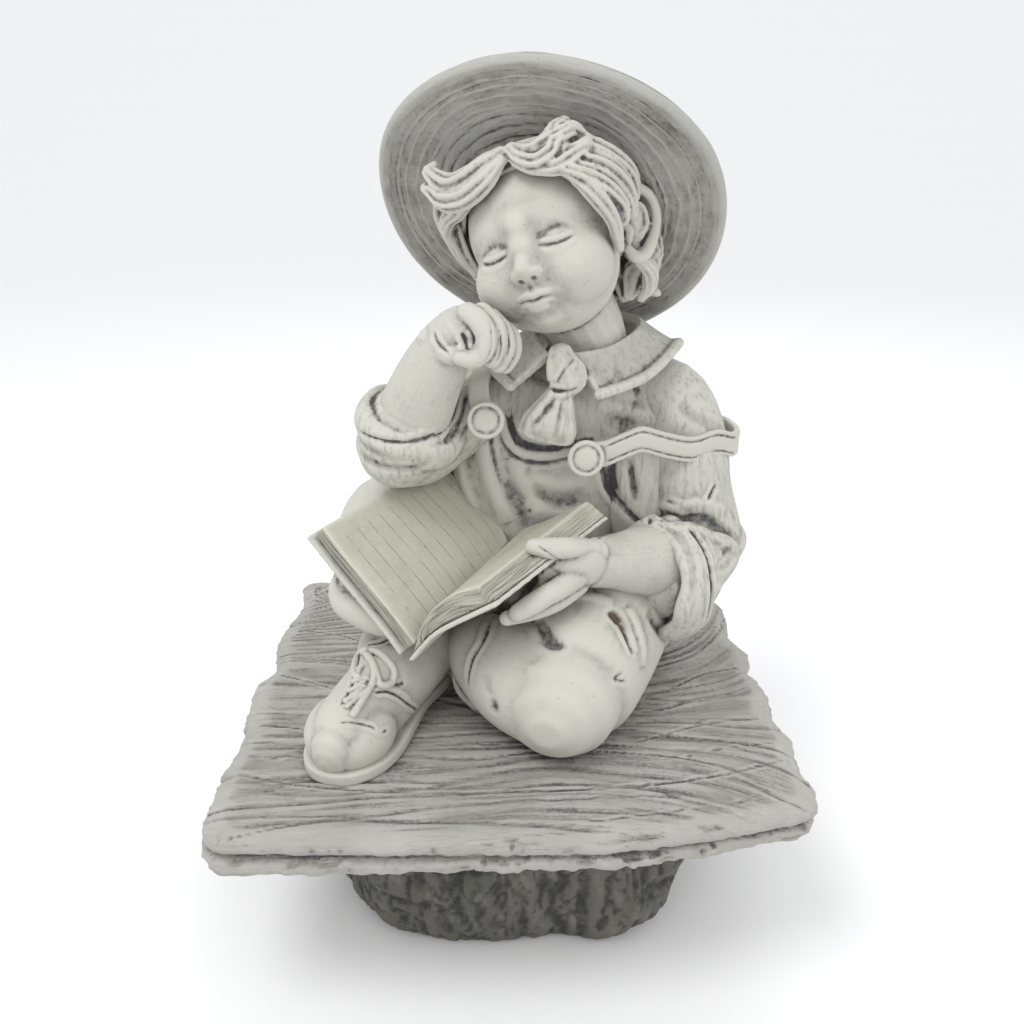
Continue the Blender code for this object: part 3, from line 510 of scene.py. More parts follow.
def makeHead():
    bm = bmesh.new()
    ball(bm, 0, 12, 10, 60, 64, 58, base=headBase)
    ball(bm, 0, -5, -19, 53, 51, 52, base=headBase)
    for side in (-1, 1):
        ball(bm, side * 24, -22, -27, 29, 30, 29, base=headBase)
    clay = Clay(fused(newObject("headMass", bm), 2.4, 24))
    eyeX, eyeZ, noseZ, mouthZ = face["eyeX"], face["eyeZ"], face["noseZ"], face["mouthZ"]
    grid = headBase
    clay.pull((0, -44, -66), (20, 22, 16), (0, -8, -2), grid)
    for side in (-1, 1):
        clay.pull((side * eyeX, -50, eyeZ + 1), (19, 18, 14), (0, 5.5, 0), grid)
        clay.pull((side * 27, -36, -30), (26, 26, 24), (side * 2, -4, 0), grid)
        clay.refresh()
        clay.swell((side * eyeX, -44, eyeZ), (14, 14, 10), 4.6, grid)
    clay.pull((0, -54, -2), (14, 14, 22), (0, -5, 0), grid)
    clay.pull((0, -50, 12), (20, 14, 13), (0, -3, 0), grid)
    clay.pull((0, -54, noseZ + 3), (11, 16, 14), (0, -11, 0), grid)
    clay.pull((0, -62, noseZ), (9, 14, 8), (0, -4, 1), grid)
    for side in (-1, 1):
        clay.pull((side * 8, -54, noseZ - 1), (7, 12, 6.5), (side * 1.5, -5, 0), grid)
    clay.pull((0, -50, mouthZ), (25, 20, 15), (0, -6, 0), grid)
    clay.write()
    head = fused(clay.piece, 1.6, 3)

    bm = bmesh.new()
    bm.from_mesh(head.data)
    limb(bm, [(67, 62, 240, 31), (62, 58, 285, 31), (46, 54, 318, 33)])
    for side in (-1, 1):
        # ear: rim, inner fold and lobe around a hollow
        limb(bm, placed(grid, [(side * 57, 12, 0, 3.4), (side * 62, 14, 12, 3.8), (side * 69, 23, 17, 3.8),
                               (side * 75, 34, 10, 3.8), (side * 76, 37, -4, 3.8), (side * 72, 32, -18, 4.4),
                               (side * 66, 22, -30, 5), (side * 60, 15, -32, 4.6), (side * 56, 12, -25, 3.6)]), 4, 14)
        limb(bm, placed(grid, [(side * 64, 20, 8, 2.4), (side * 69, 28, 3, 2.6), (side * 69, 29, -9, 2.6),
                               (side * 64, 21, -18, 2.8)]), 4, 12)
        limb(bm, placed(grid, [(side * 57, 10, -6, 3), (side * 60, 12, -12, 3.4), (side * 58, 13, -18, 3)]), 4, 12)
        ball(bm, side * 61, 27, -8, 7, 12, 19, (0, side * 12, 0), base=grid)
    bpy.data.objects.remove(head)
    clay = Clay(fused(newObject("head", bm), 1.35, 2, 0.45))

    front = (clay.spots - np.array(headBase.translation)) @ np.array(headBase.to_3x3())
    clay.relax(5, np.clip((-front[:, 1] - 24) / 12, 0, 1), 0.6)

    def on(points):
        return clay.seen(points, headBase)

    for side in (-1, 1):
        # the eyes look down at the page, with plain lids
        def lid(points):
            return on([(side * (eyeX + x), eyeZ + z) for x, z in points])

        edge = [(-12, -1.5), (-6, -3), (1, -3.8), (8, -3), (13.5, -0.5)]
        clay.stroke(lid([(-13, 1), (-8, 5), (0, 7.4), (8, 6.2), (15, 1.5)]), 3.8, -0.9, "groove")
        clay.stroke(lid([(-11, -4.5), (-5, -8), (2, -9.2), (9, -7), (13.5, -2.5)]), 3.2, 0.6, "ridge")
        clay.refresh()
        clay.stroke(lid(edge), 3.4, -1.5, "crease", stain=0.35)
        clay.stroke(lid([(x, z + 2.6) for x, z in edge]), 2.8, 0.7, "ridge")
        clay.stroke(lid([(-8, 16), (0, 19.5), (9, 19.5), (18, 14)]), 12, 0.6, "ridge")
        clay.stroke(on([(side * 12, noseZ + 3), (side * 13.5, noseZ - 2), (side * 10.5, noseZ - 6)]), 3.4, -0.3)
        clay.stroke(on([(side * 14, mouthZ + 1.5), (side * 16.5, mouthZ - 1)]), 4, -0.3, "groove", taper=0)
        clay.refresh()
    clay.stroke(on([(-11, mouthZ + 2.4), (-4, mouthZ + 5.2), (0, mouthZ + 4), (4, mouthZ + 5.2), (11, mouthZ + 2.4)]),
                4.4, 1.5, "ridge")
    clay.stroke(on([(-9, mouthZ - 3.6), (0, mouthZ - 5.2), (9, mouthZ - 3.6)]), 5.5, 1.7, "ridge")
    clay.refresh()
    clay.stroke(on([(-14, mouthZ + 0.6), (-7, mouthZ + 1.4), (0, mouthZ + 0.2), (7, mouthZ + 1.4), (14, mouthZ + 0.6)]),
                3.4, -1.7, "crease", stain=0.35, taper=0.2)
    clay.stroke(on([(-10, mouthZ - 11), (0, mouthZ - 12), (10, mouthZ - 11)]), 7, -0.8, "groove")
    clay.stroke(on([(0, noseZ - 9), (0, mouthZ + 7)]), 3.6, -0.4, "groove", taper=0)
    for side in (-1, 1):
        spot = clay.seen([(side * 4.8, noseZ - 5.4)], headBase)[0]
        clay.pull(spot, 3.2, headBase.to_3x3() @ Vector((0, 1.4, 1.6)))
        away = np.linalg.norm(clay.spots - np.array(spot), axis=1)
        clay.stain = np.maximum(clay.stain, 0.3 * np.exp(-(away / 1.6) ** 2))
    clay.relax(3, np.clip((-front[:, 1] - 24) / 12, 0, 1), 0.5)
    return clay.keep()


finished(makeHead())


def makeHair():
    bm = bmesh.new()
    ball(bm, 0, 30, 14, 63, 57, 54, base=headBase)
    for i, lock in enumerate(hairLocks):
        limb(bm, placed(headBase, lock), 6, 36, flutes=6 + i % 3, fluteDepth=0.2, twist=1.6 * (-1) ** i)
    for k in range(9):
        x = -48 + k * 12
        back = 68 - abs(x) * 0.34
        sway = 3 * math.sin(k * 2.1)
        limb(bm, placed(headBase, [(x, back, 8, 9), (x + sway, back + 3, -12, 10), (x * 0.98 - sway, back + 1, -30, 9),
                                   (x * 0.94, back - 6, -44, 8), (x * 0.9 + sway, back - 10, -55, 5)]), 4, 26,
             flutes=5, fluteDepth=0.16, twist=1.2)
    clay = Clay(fused(newObject("hair", bm), 1.4, 1, 0.4))
    return clay.keep()


finished(makeHair())


shirt = {"yaw": 10, "foldDepth": 3.0, "bibStep": 3.2}
torsoStations = [   # x, y, z, half width, half depth
    (40, 94, 34, 86, 60), (38, 92, 66, 88, 60), (36, 86, 110, 84, 57), (34, 80, 150, 87, 54), (37, 75, 190, 88, 50),
    (48, 70, 222, 83, 46), (61, 66, 246, 66, 40), (66, 62, 262, 42, 34),
]
# The bib's outline, as (x, z) marks seen from the front
bibHem = [(-30, 276), (-18, 265), (-9, 249), (-5, 229), (0, 217), (10, 211), (29, 209), (49, 214), (57, 215)]
bibSide = [(57, 215), (66, 196), (71, 179), (82, 165), (98, 149), (120, 138)]
bibLeft = [(-30, 276), (-48, 262), (-72, 230), (-84, 160)]


def makeTorso():
    bm = bmesh.new()
    turn = math.radians(shirt["yaw"])
    loft(bm, smoothPath(torsoStations, 4), 40, (math.cos(turn), math.sin(turn), 0))
    limb(bm, [(66, 61, 255, 33), (63, 58, 280, 32)])
    limb(bm, [(100, 70, 225, 30), (108, 64, 185, 34), (112, 60, 140, 34)])
    limb(bm, [(-24, 70, 222, 22), (-36, 70, 190, 23), (-36, 72, 160, 24), (-28, 78, 130, 28)])
    limb(bm, [(112, 80, 236, 32), (60, 74, 236, 34), (8, 60, 236, 31)])
    ball(bm, 50, 96, 36, 92, 68, 37)
    clay = Clay(fused(newObject("torso", bm), 1.8, 8))
    # the bib stands a little proud of the shirt
    region = bibHem + bibSide[1:] + [(120, 60), (-90, 60)] + bibLeft[::-1][:-1]
    flat = clay.spots - np.array(eyePlace)
    reach = -eyePlace.y / flat[:, 1]
    px, pz = eyePlace.x + flat[:, 0] * reach, eyePlace.z + flat[:, 2] * reach
    inside = np.zeros(clay.count, dtype=bool)
    for (x1, z1), (x2, z2) in zip(region, region[1:] + region[:1]):
        cross = ((z1 > pz) != (z2 > pz)) & (px < (x2 - x1) * (pz - z1) / (z2 - z1 + 1e-9) + x1)
        inside ^= cross
    bib = (inside & (clay.normals[:, 1] < 0.25)).astype(float)
    edge = clay.average(np.repeat(bib[:, None], 3, 1))[:, 0]
    clay.spots += clay.normals * (edge * shirt["bibStep"])[:, None]
    clay.refresh()
    clay.surface()
    depth = shirt["foldDepth"]
    hem = clay.seen(bibHem)
    clay.stroke(hem, 6.5, 5.2, "ridge", taper=0)
    clay.refresh()
    clay.stroke(clay.seen([(x + 4, z + 5) for x, z in bibHem]), 4, -2.4, "groove", stain=0.7, taper=0)
    clay.stroke(clay.seen([(x - 1, z - 7) for x, z in bibHem]), 4, -1.6, "groove", stain=0.3, taper=0.1)
    clay.stroke(clay.seen(bibSide), 4, 1.6, "ridge", taper=0)
    clay.stroke(clay.seen([(x + 5, z + 2) for x, z in bibSide]), 4, -1.8, "groove", stain=0.6, taper=0)
    clay.refresh()
    # drapery: hanging folds of the bib, then pulls in the shirt
    clay.carve((
        ([(0, 206), (4, 194), (12, 178), (19, 161), (26, 150)], 15, 3.2, "ridge", 0),
        ([(-10, 216), (-7, 198), (2, 178), (10, 160), (14, 146)], 14, -2.6, "groove", 0),
        ([(-24, 240), (-21, 205), (-12, 174), (-2, 152)], 11, 3.4, "ridge", 0),
        ([(-17, 236), (-15, 210), (-8, 184)], 5, -1.6, "crease", 0.2),
        ([(12, 196), (26, 187), (42, 184), (60, 190)], 13, 2.0, "ridge", 0),
        ([(12, 182), (26, 172), (44, 170), (62, 176)], 13, -1.8, "groove", 0),
        ([(16, 170), (32, 160), (48, 158), (66, 164)], 11, 1.8, "ridge", 0),
        ([(14, 160), (18, 167), (24, 159)], 5, -1.4, "crease", 0.4),
        ([(66, 250), (82, 244), (104, 238), (120, 232)], 9, 2.2, "ridge", 0),
        ([(70, 240), (88, 233), (112, 228)], 10, -1.4, "groove", 0),
        ([(128, 262), (118, 240), (108, 226), (100, 214)], 3.0, -0.8, "crease", 0.3),
        ([(84, 205), (86, 185), (90, 168)], 8, 2.6, "ridge", 0),
        ([(92, 206), (95, 186), (98, 168)], 6, -2.2, "groove", 0.3),
        ([(74, 208), (76, 192), (82, 178)], 6, -1.6, "groove", 0.2),
        ([(-34, 244), (-40, 214), (-36, 184), (-26, 158)], 9, 3.0, "ridge", 0),
        ([(-46, 226), (-50, 200), (-44, 172)], 9, -2.4, "groove", 0.2),
        ([(-20, 262), (-26, 248), (-24, 232)], 6, 1.8, "ridge", 0),
    ), facing=(0, -1, 0.1))
    # the back: a centre pleat, waistband and seat folds
    clay.carve((
        ([(64, 128, 246), (62, 132, 200), (58, 140, 150), (56, 148, 108)], 9, -2.4, "groove", 0.2),
        ([(92, 120, 232), (90, 126, 190), (84, 136, 130)], 10, 2.4, "ridge", 0),
        ([(32, 120, 232), (34, 126, 190), (38, 138, 130)], 10, 2.4, "ridge", 0),
        ([(-28, 104, 98), (10, 136, 94), (60, 148, 92), (104, 136, 94), (132, 104, 98)], 6, 2.6, "ridge", 0),
        ([(-28, 106, 90), (10, 138, 86), (60, 152, 84), (104, 138, 86), (132, 106, 90)], 4, -1.8, "crease", 0.5),
        ([(60, 156, 84), (60, 162, 50), (58, 162, 16)], 5, -2.6, "crease", 0.4),
    ), clay.nearest)
    clay.cloth = 1 - edge
    low = clay.spots[:, 2] < 92
    clay.cloth[low & (clay.spots[:, 1] > 60)] = 0
    clay.spots[:, 2] = np.maximum(clay.spots[:, 2], 0)
    return clay.keep()


finished(makeTorso())


def makeCollar():
    bm = bmesh.new()
    leaves = (
        ([(64, 100, 302), (92, 90, 302), (104, 70, 301), (98, 46, 296), (74, 24, 288), (44, 10, 286)],
         [(72, 134, 266), (112, 114, 268), (136, 84, 276), (133, 56, 280), (104, 20, 265), (66, 1, 256)]),
        ([(64, 100, 302), (40, 92, 302), (26, 72, 300), (20, 48, 296), (22, 28, 290), (28, 12, 286)],
         [(62, 136, 266), (20, 118, 268), (-8, 84, 274), (-17, 50, 276), (-15, 24, 272), (-1, 4, 262)]),
    )
    for inner, outer in leaves:
        leaf(bm, smoothPath(inner, 6), smoothPath(outer, 6), 7)
        limb(bm, [(*p, 4.2) for p in outer], 6, 14)
    # kerchief: a folded knot and a fanned tail
    loft(bm, smoothPath([(36, 7, 287, 9, 7), (38, 4, 278, 13, 9), (41, 3, 269, 15, 10), (38, 3, 261, 11, 8)], 4), 30,
         (1, 0, 0), flutes=5, fluteDepth=0.08, twist=1.0)
    loft(bm, smoothPath([(37, 3, 261, 8, 7), (34, 1, 249, 14, 8), (29, -1, 234, 21, 8), (26, 0, 223, 22, 5)], 5), 44,
         (1, 0, -0.25), flutes=7, fluteDepth=0.07, twist=0.6)
    clay = Clay(fused(newObject("collarAndKerchief", bm), 1.45, 2))
    clay.carve((
        ([(26, 262), (36, 259), (50, 262)], 4, -2.4, "crease", 0.7),
        ([(33, 264), (38, 274), (46, 284)], 3.4, -1.2, "crease", 0.25),
        ([(35, 256), (24, 242), (14, 230)], 4.5, -1.6, "groove", 0.3),
        ([(38, 256), (36, 240), (32, 222)], 4.5, -1.6, "groove", 0.3),
        ([(70, 256), (98, 266), (122, 284)], 3, -0.5, "groove", 0.2),
    ))
    clay.stroke(clay.seen([(81, 281), (80, 272), (77, 264)]), 3.2, 0.9, "ridge", brown=1.0, taper=0.4)
    clay.cloth[:] = 0.8
    return clay.keep()


finished(makeCollar())


strapLines = {
    "fallen": [(58, 4, 206), (72, 3, 207), (88, 5, 213), (103, 8, 217), (122, 15, 210), (146, 24, 203), (168, 33, 206),
               (186, 48, 199), (192, 64, 200), (182, 92, 202), (150, 112, 202), (118, 122, 190), (90, 134, 166),
               (66, 142, 124)],
    "worn": [(-21, 4, 238), (-25, 8, 252), (-24, 20, 267), (-12, 46, 276), (4, 76, 272), (20, 99, 246), (34, 115, 208),
             (48, 127, 160), (60, 137, 118)],
}


def makeStraps():
    bm = bmesh.new()
    for name, half in (("fallen", 10.5), ("worn", 8)):
        line = smoothPath(strapLines[name], 6)
        rise = [Vector((half, 0, 1))] * len(line)
        if name == "fallen":
            # it lies flat against the arm, and turns over to run down the back
            turns = [min(max((i - 54) / 20, 0), 1) for i in range(len(line))]
            rise = [Vector((0, 0, half)).lerp(Vector((half, 0, 2)), turn) for turn in turns]
        leaf(bm, [Vector(p) - r for p, r in zip(line, rise)], [Vector(p) + r for p, r in zip(line, rise)], 5, rows=3)
    for x, y, z in ((57, -1, 206), (-20, -3, 238)):
        button = turned((x, y, z), 0, 0, 80)
        ball(bm, 0, 0, 0, 14, 14, 4, base=button)
        hoop(bm, button @ Matrix.Translation((0, 0, 2)), 12.5, 12.5, 2, 3, 40)
        ball(bm, 0, 0, 3, 9.5, 9.5, 2.6, base=button)
    clay = Clay(fused(newObject("strapsAndButtons", bm), 1.3, 1))
    fallen = [Vector(p) for p in smoothPath(strapLines["fallen"], 3)]
    for lift in (-6.5, 6.5):
        path = clay.nearest([p + Vector((0, -3, lift)) for p in fallen[2:22]])
        clay.stroke(path, 2.4, -0.9, "groove", stain=0.35, taper=0, smooth=0)
    clay.refresh()
    return clay.keep()


finished(makeStraps())


def makeRightArm():
    bm = bmesh.new()
    limb(bm, [(8, 60, 242, 29), (-20, 50, 236, 31), (-50, 36, 225, 33), (-72, 24, 215, 36), (-84, 16, 213, 35)], 4, 28)
    cuff = turned((-78, 8, 230), 0, 22, 17)
    hoop(bm, cuff, 37, 34, 6.5, 12, 60, wobble=1.2, seed=1.0)
    limb(bm, placed(cuff, [(-2, 0, -18, 37, 35), (0, 0, -5, 39, 36)]), 3, 40)
    clay = Clay(fused(newObject("rightSleeve", bm), 1.6, 3))
    clay.carve((
        ([(-122, 236), (-108, 224), (-84, 220), (-58, 226), (-44, 238)], 5, -2.4, "crease", 0.6),
        ([(-118, 214), (-100, 200), (-78, 198), (-60, 208)], 7, -2.2, "groove", 0.3),
        ([(-112, 226), (-92, 212), (-70, 212)], 6, 1.6, "ridge", 0),
        ([(-40, 262), (-46, 240), (-60, 222)], 4, -1.8, "groove", 0.5),
        ([(-34, 258), (-40, 236), (-52, 218)], 4, -1.8, "groove", 0.5),
        ([(-28, 250), (-34, 232), (-44, 214)], 4, -1.6, "groove", 0.5),
    ))
    clay.cloth[:] = 1
    return clay.keep()


def makeRightHand():
    bm = bmesh.new()
    limb(bm, [(-84, 16, 208, 28), (-78, 8, 231, 28.5), (-68, 0, 256, 27), (-57, -6, 280, 23.8), (-47, -10, 297, 20.5),
              (-37, -10, 305, 20.5)], 4, 32)
    ball(bm, -33, -8, 303, 25, 21, 20, (0, -18, 0))
    fingers = (
        [(-32, 318, -20, 7.8), (-24, 312, -28, 8), (-19, 301, -32, 7.8), (-21, 290, -33, 7.4), (-29, 284, -34, 6.8),
         (-38, 285, -33, 5.8)],
        [(-22, 318, -12, 7.8), (-13, 308, -21, 7.8), (-11, 297, -24, 7.6), (-15, 284, -26, 6.8)],
        [(-15, 314, -4, 7.6), (-7, 304, -14, 7.6), (-5, 292, -18, 7.4), (-10, 280, -20, 6.4)],
        [(-8, 308, 6, 7.4), (-1, 300, -5, 7.4), (0, 289, -10, 7), (-5, 279, -13, 6.2)],
    )
    for finger in fingers:
        limb(bm, sighted(finger), 4, 18)
    limb(bm, sighted([(-60, 299, -14, 9.2), (-52, 290, -22, 8.8), (-42, 288, -28, 7.8), (-34, 292, -28, 6.2)]), 4, 18)
    clay = Clay(fused(newObject("rightHand", bm), 1.15, 2))
    clay.carve((
        ([(-37, 304), (-34, 298), (-33, 291)], 4.6, -2.8, "crease", 0.5),
        ([(-57, 305), (-54, 296), (-46, 288)], 3.6, -1.2, "crease", 0.25),
        ([(-17, 313), (-15, 302), (-16, 290), (-21, 281)], 3, -0.7, "crease", 0.3),
        ([(-10, 308), (-8, 298), (-9, 287), (-14, 279)], 3, -0.7, "crease", 0.3),
        ([(-3, 303), (-2, 294), (-4, 284)], 3, -0.7, "crease", 0.3),
    ))
    return clay.keep()


finished(makeRightArm())
finished(makeRightHand())


def makeLeftSleeve():
    bm = bmesh.new()
    limb(bm, [(112, 80, 236, 32), (132, 74, 226, 37), (144, 66, 195, 39), (150, 54, 158, 37), (162, 42, 118, 35),
              (156, 30, 110, 35), (141, 15, 105, 36)], 4, 36)
    ball(bm, 170, 42, 112, 32, 30, 22, (0, -20, 0))
    limb(bm, [(138, 12, 104, 38, 40), (131, 5, 103, 40, 42)], 3, 48, side=(0, 0, 1))
    hoop(bm, turned((124, -2, 102), 32, -84, 0), 44, 41, 8.5, 20, 72, wobble=2.4, seed=0.4)
    clay = Clay(fused(newObject("leftSleeve", bm), 1.6, 3))
    clay.carve((
        ([(98, 206), (101, 190), (103, 170), (102, 148)], 6, -3.6, "crease", 0.7),
        ([(108, 206), (110, 190), (112, 166)], 8, 2.2, "ridge", 0),
        ([(112, 159), (126, 154), (144, 155), (160, 150), (186, 130)], 8, -3.4, "groove", 0.2),
        ([(112, 168), (130, 164), (150, 167), (170, 160)], 9, 2.6, "ridge", 0),
        ([(120, 148), (146, 144), (168, 136), (184, 124)], 8, 3.0, "ridge", 0),
        ([(122, 170), (137, 163), (150, 166)], 5, -2.6, "crease", 0.8),
        ([(150, 164), (156, 172), (160, 183)], 4, -2.0, "crease", 0.6),
        ([(184, 124), (176, 108), (170, 92), (168, 76)], 8, 2.4, "ridge", 0),
        ([(178, 128), (170, 122), (166, 108)], 6, -1.8, "groove", 0.2),
        ([(114, 153), (131, 149), (145, 140), (158, 121), (164, 99), (165, 76), (160, 54)], 4.5, -3.2, "crease", 0.7),
        ([(118, 146), (134, 136), (144, 118), (148, 94), (146, 66)], 7, -1.2, "groove", 0.1),
        ([(124, 150), (140, 140), (151, 120), (155, 96), (154, 66)], 5, 1.0, "ridge", 0),
        ([(126, 250), (140, 238), (160, 226)], 9, -1.6, "groove", 0.2),
    ))
    clay.cloth[:] = 1
    return clay.keep()


def makeLeftHand():
    bm = bmesh.new()
    limb(bm, [(146, 12, 112, 29), (130, 2, 116, 31), (112, -8, 121, 30), (92, -20, 126, 25.5), (74, -31, 131, 20.5),
              (60, -38, 134, 19)], 4, 32)
    ball(bm, 47, -51, 141, 24, 15, 20, (0, 12, 10))
    ball(bm, 36, -54, 130, 18, 12, 17, (0, 20, 10))
    limb(bm, [(62, -46, 147, 10), (46, -56, 154, 8.4), (38, -60, 157, 8.2), (26, -62, 158, 8), (14, -63, 160, 6.2)],
         4, 22)
    limb(bm, [(48, -56, 134, 10), (32, -69, 128, 8.6), (24, -74, 126, 8.2), (12, -80, 121, 8), (2, -84, 117, 6.6)],
         4, 22)
    limb(bm, [(48, -52, 124, 9.5), (32, -64, 116, 8.2), (14, -72, 112, 7.4), (-6, -80, 110, 5.6)], 4, 22)
    clay = Clay(fused(newObject("leftHand", bm), 1.15, 2))
    clay.carve((
        ([(14, 146), (28, 143), (42, 144)], 3.6, -1.8, "crease", 0.7),
        ([(72, 154), (70, 138), (64, 124)], 4, -1.2, "crease", 0.35),
        ([(-8, 104), (8, 104), (24, 108), (36, 116)], 3.2, -1.9, "crease", 0.7),
        ([(20, 132), (30, 124), (40, 118)], 3, -0.9, "crease", 0.3),
    ))
    return clay.keep()


finished(makeLeftSleeve())
finished(makeLeftHand())


def makeLegs():
    bm = bmesh.new()
    limb(bm, [(40, 92, 66, 58), (0, 84, 84, 50), (-40, 74, 104, 45), (-78, 64, 126, 41), (-100, 58, 134, 38),
              (-107, 36, 128, 38), (-106, 16, 114, 40), (-102, 2, 99, 41)], 4, 40)
    hoop(bm, turned((-100, -3, 92), 0, 8, 8), 42, 41, 7, 11, 60, wobble=1.2, seed=2.0)
    limb(bm, [(-97, -2, 92, 26), (-92, 3, 62, 25), (-90, 8, 40, 26)], 3, 28)
    ball(bm, -8, 52, 64, 58, 52, 70, (0, 30, 0))
    ball(bm, -42, 44, 86, 44, 40, 50, (0, 30, 0))
    limb(bm, [(92, 84, 60, 60), (82, 38, 62, 62), (66, -4, 56, 61), (51, -40, 48, 58), (41, -66, 45, 54),
              (36, -80, 43, 47)], 4, 40)
    limb(bm, [(30, -74, 43, 46), (6, -54, 44, 44), (-14, -28, 43, 37), (-28, -2, 38, 30)], 4, 36)
    limb(bm, [(-10, 8, 78, 5), (-24, -4, 70, 5.5), (-36, -16, 56, 6), (-44, -27, 38, 6), (-42, -34, 20, 6),
              (-30, -36, 4, 5)], 4, 14)
    limb(bm, [(-30, 0, 30, 27), (-50, 20, 24, 22), (-62, 40, 20, 18)])
    limb(bm, [(100, 78, 34, 50), (110, 60, 30, 40)], 3, 32)
    clay = Clay(fused(newObject("trousers", bm), 2.0, 3))
    clay.carve((
        ([(-12, 80), (6, 74), (20, 60), (27, 46), (38, 42)], 9, -2.6, "groove", 0.25),
        ([(23, 66), (28, 52), (36, 40), (44, 44)], 9, -3.4, "groove", 0.35),
        ([(84, 70), (90, 60), (96, 46), (103, 28)], 6, -3.6, "crease", 0.6),
        ([(81, 72), (86, 64), (90, 58)], 7, -3.0, "groove", 0.4),
        ([(96, 74), (104, 56), (110, 36), (112, 16)], 9, 2.8, "ridge", 0),
        ([(112, 70), (124, 52), (134, 36)], 9, -2.4, "groove", 0.3),
        ([(-8, 70), (-22, 50), (-34, 26), (-38, 0)], 6, -3.4, "crease", 0.6),
        ([(-24, 14), (-16, -22), (2, -58), (28, -80)], 8, -2.0, "groove", 0.25),
        ([(4, 84), (-2, 66), (-6, 44)], 8, 2.0, "ridge", 0),
        ([(40, 84), (60, 84), (84, 78)], 8, 1.8, "ridge", 0),
        ([(96, 12), (88, 4), (100, 2)], 2.4, -0.8, "groove", 0.5),
        ([(-126, 128), (-112, 120), (-96, 120)], 8, -2.0, "groove", 0.2),
        ([(-130, 116), (-116, 104), (-98, 102)], 7, 1.6, "ridge", 0),
    ))
    clay.stroke(clay.seen([(80, 72), (86, 65), (90, 58), (96, 46)]), 5.5, -0.3, brown=0.9, taper=0.3)
    clay.spots[:, 2] = np.maximum(clay.spots[:, 2], 0)
    return clay.keep()


finished(makeLegs())


shoe = {"turn": math.degrees(math.atan2(-75, 178)), "soleTall": 9}
soleOutline = [(0, 92), (18, 88), (28, 70), (29, 44), (27, 16), (31, -14), (35, -44), (32, -70), (19, -90), (0, -97),
               (-19, -92), (-33, -73), (-35, -46), (-30, -14), (-26, 16), (-28, 44), (-27, 70), (-18, 88)]


def makeShoe():
    base = turned((-101, -38, 0), shoe["turn"], 0, 0)
    bm = bmesh.new()
    loft(bm, placed(base, smoothPath([
        (0, 84, 24, 26, 24), (0, 66, 34, 31, 34), (0, 36, 40, 31, 40), (2, 8, 35, 32, 35), (2, -22, 29, 35, 29),
        (0, -50, 26, 34, 26), (-1, -70, 24, 32, 23), (-1, -80, 20, 27, 18)], 4)), 44)
    ball(bm, -1, -58, 22, 34, 37, 28, base=base)
    limb(bm, placed(base, [(0, 42, 40, 28), (0, 43, 62, 26), (1, 44, 76, 25)]), 4, 32)
    hoop(bm, base @ turned((1, 44, 74), 0, 0, -8), 23, 25, 6.5, 9, 48)
    ball(bm, 0, 14, 62, 15, 22, 11, (20, 0, 0), base=base)
    clay = Clay(fused(newObject("shoe", bm), 1.35, 7))
    clay.carve((
        ([(-168, -44), (-146, -36), (-132, -38), (-122, -41), (-111, -46), (-102, -52), (-97, -51)], 2.8, -0.9,
         "crease", 0.4),
        ([(-118, -6), (-108, -5), (-98, -10), (-90, -18), (-83, -24)], 3.0, -1.6, "crease", 0.55),
        ([(-116, -2), (-106, -1), (-96, -5), (-87, -13)], 3.0, 0.8, "ridge", 0),
        ([(-122, 41), (-111, 43), (-98, 50)], 3.4, -1.8, "crease", 0.6),
        ([(-128, 35), (-131, 23), (-134, 11), (-139, -3), (-148, -19)], 3.2, -1.5, "crease", 0.5),
        ([(-104, 8), (-98, 2), (-92, 4)], 3, -1.0, "groove", 0.3),
    ), taper=0.1)
    clay.surface()
    return base, clay


def makeLaces(clay):
    bm = bmesh.new()

    def lace(marks, wide):
        limb(bm, [(x - 0.1, y - 1.2, z + 1.2, wide) for x, y, z in clay.seen(marks)], 5, 12)

    lace([(-123, 35), (-115, 34), (-107, 28), (-100, 15), (-103, 3), (-112, 1), (-115, 11), (-118, 24),
          (-123, 33)], 3.1)
    lace([(-123, 33), (-118, 23), (-117, 12), (-121, -1), (-130, -10)], 2.8)
    lace([(-123, -4), (-130, -16), (-137, -28)], 3.0)
    lace([(-124, 36), (-131, 28), (-134, 14), (-131, 10)], 2.6)
    for row in ([(-134, 14), (-127, 20)], [(-135, 5), (-124, 8)], [(-139, -4), (-127, 0)], [(-143, -14), (-131, -8)]):
        lace(row, 2.2)
        lace([(row[0][0] + 1, row[0][1] - 6), (row[1][0] - 2, row[1][1] - 3)], 1.8)
    ball(bm, *[a + b for a, b in zip(clay.seen([(-123, 34)])[0], (0, -2, 2))], 4.6, 4, 4.2, detail=3)
    return Clay(fused(newObject("laces", bm), 0.8, 1)).keep()


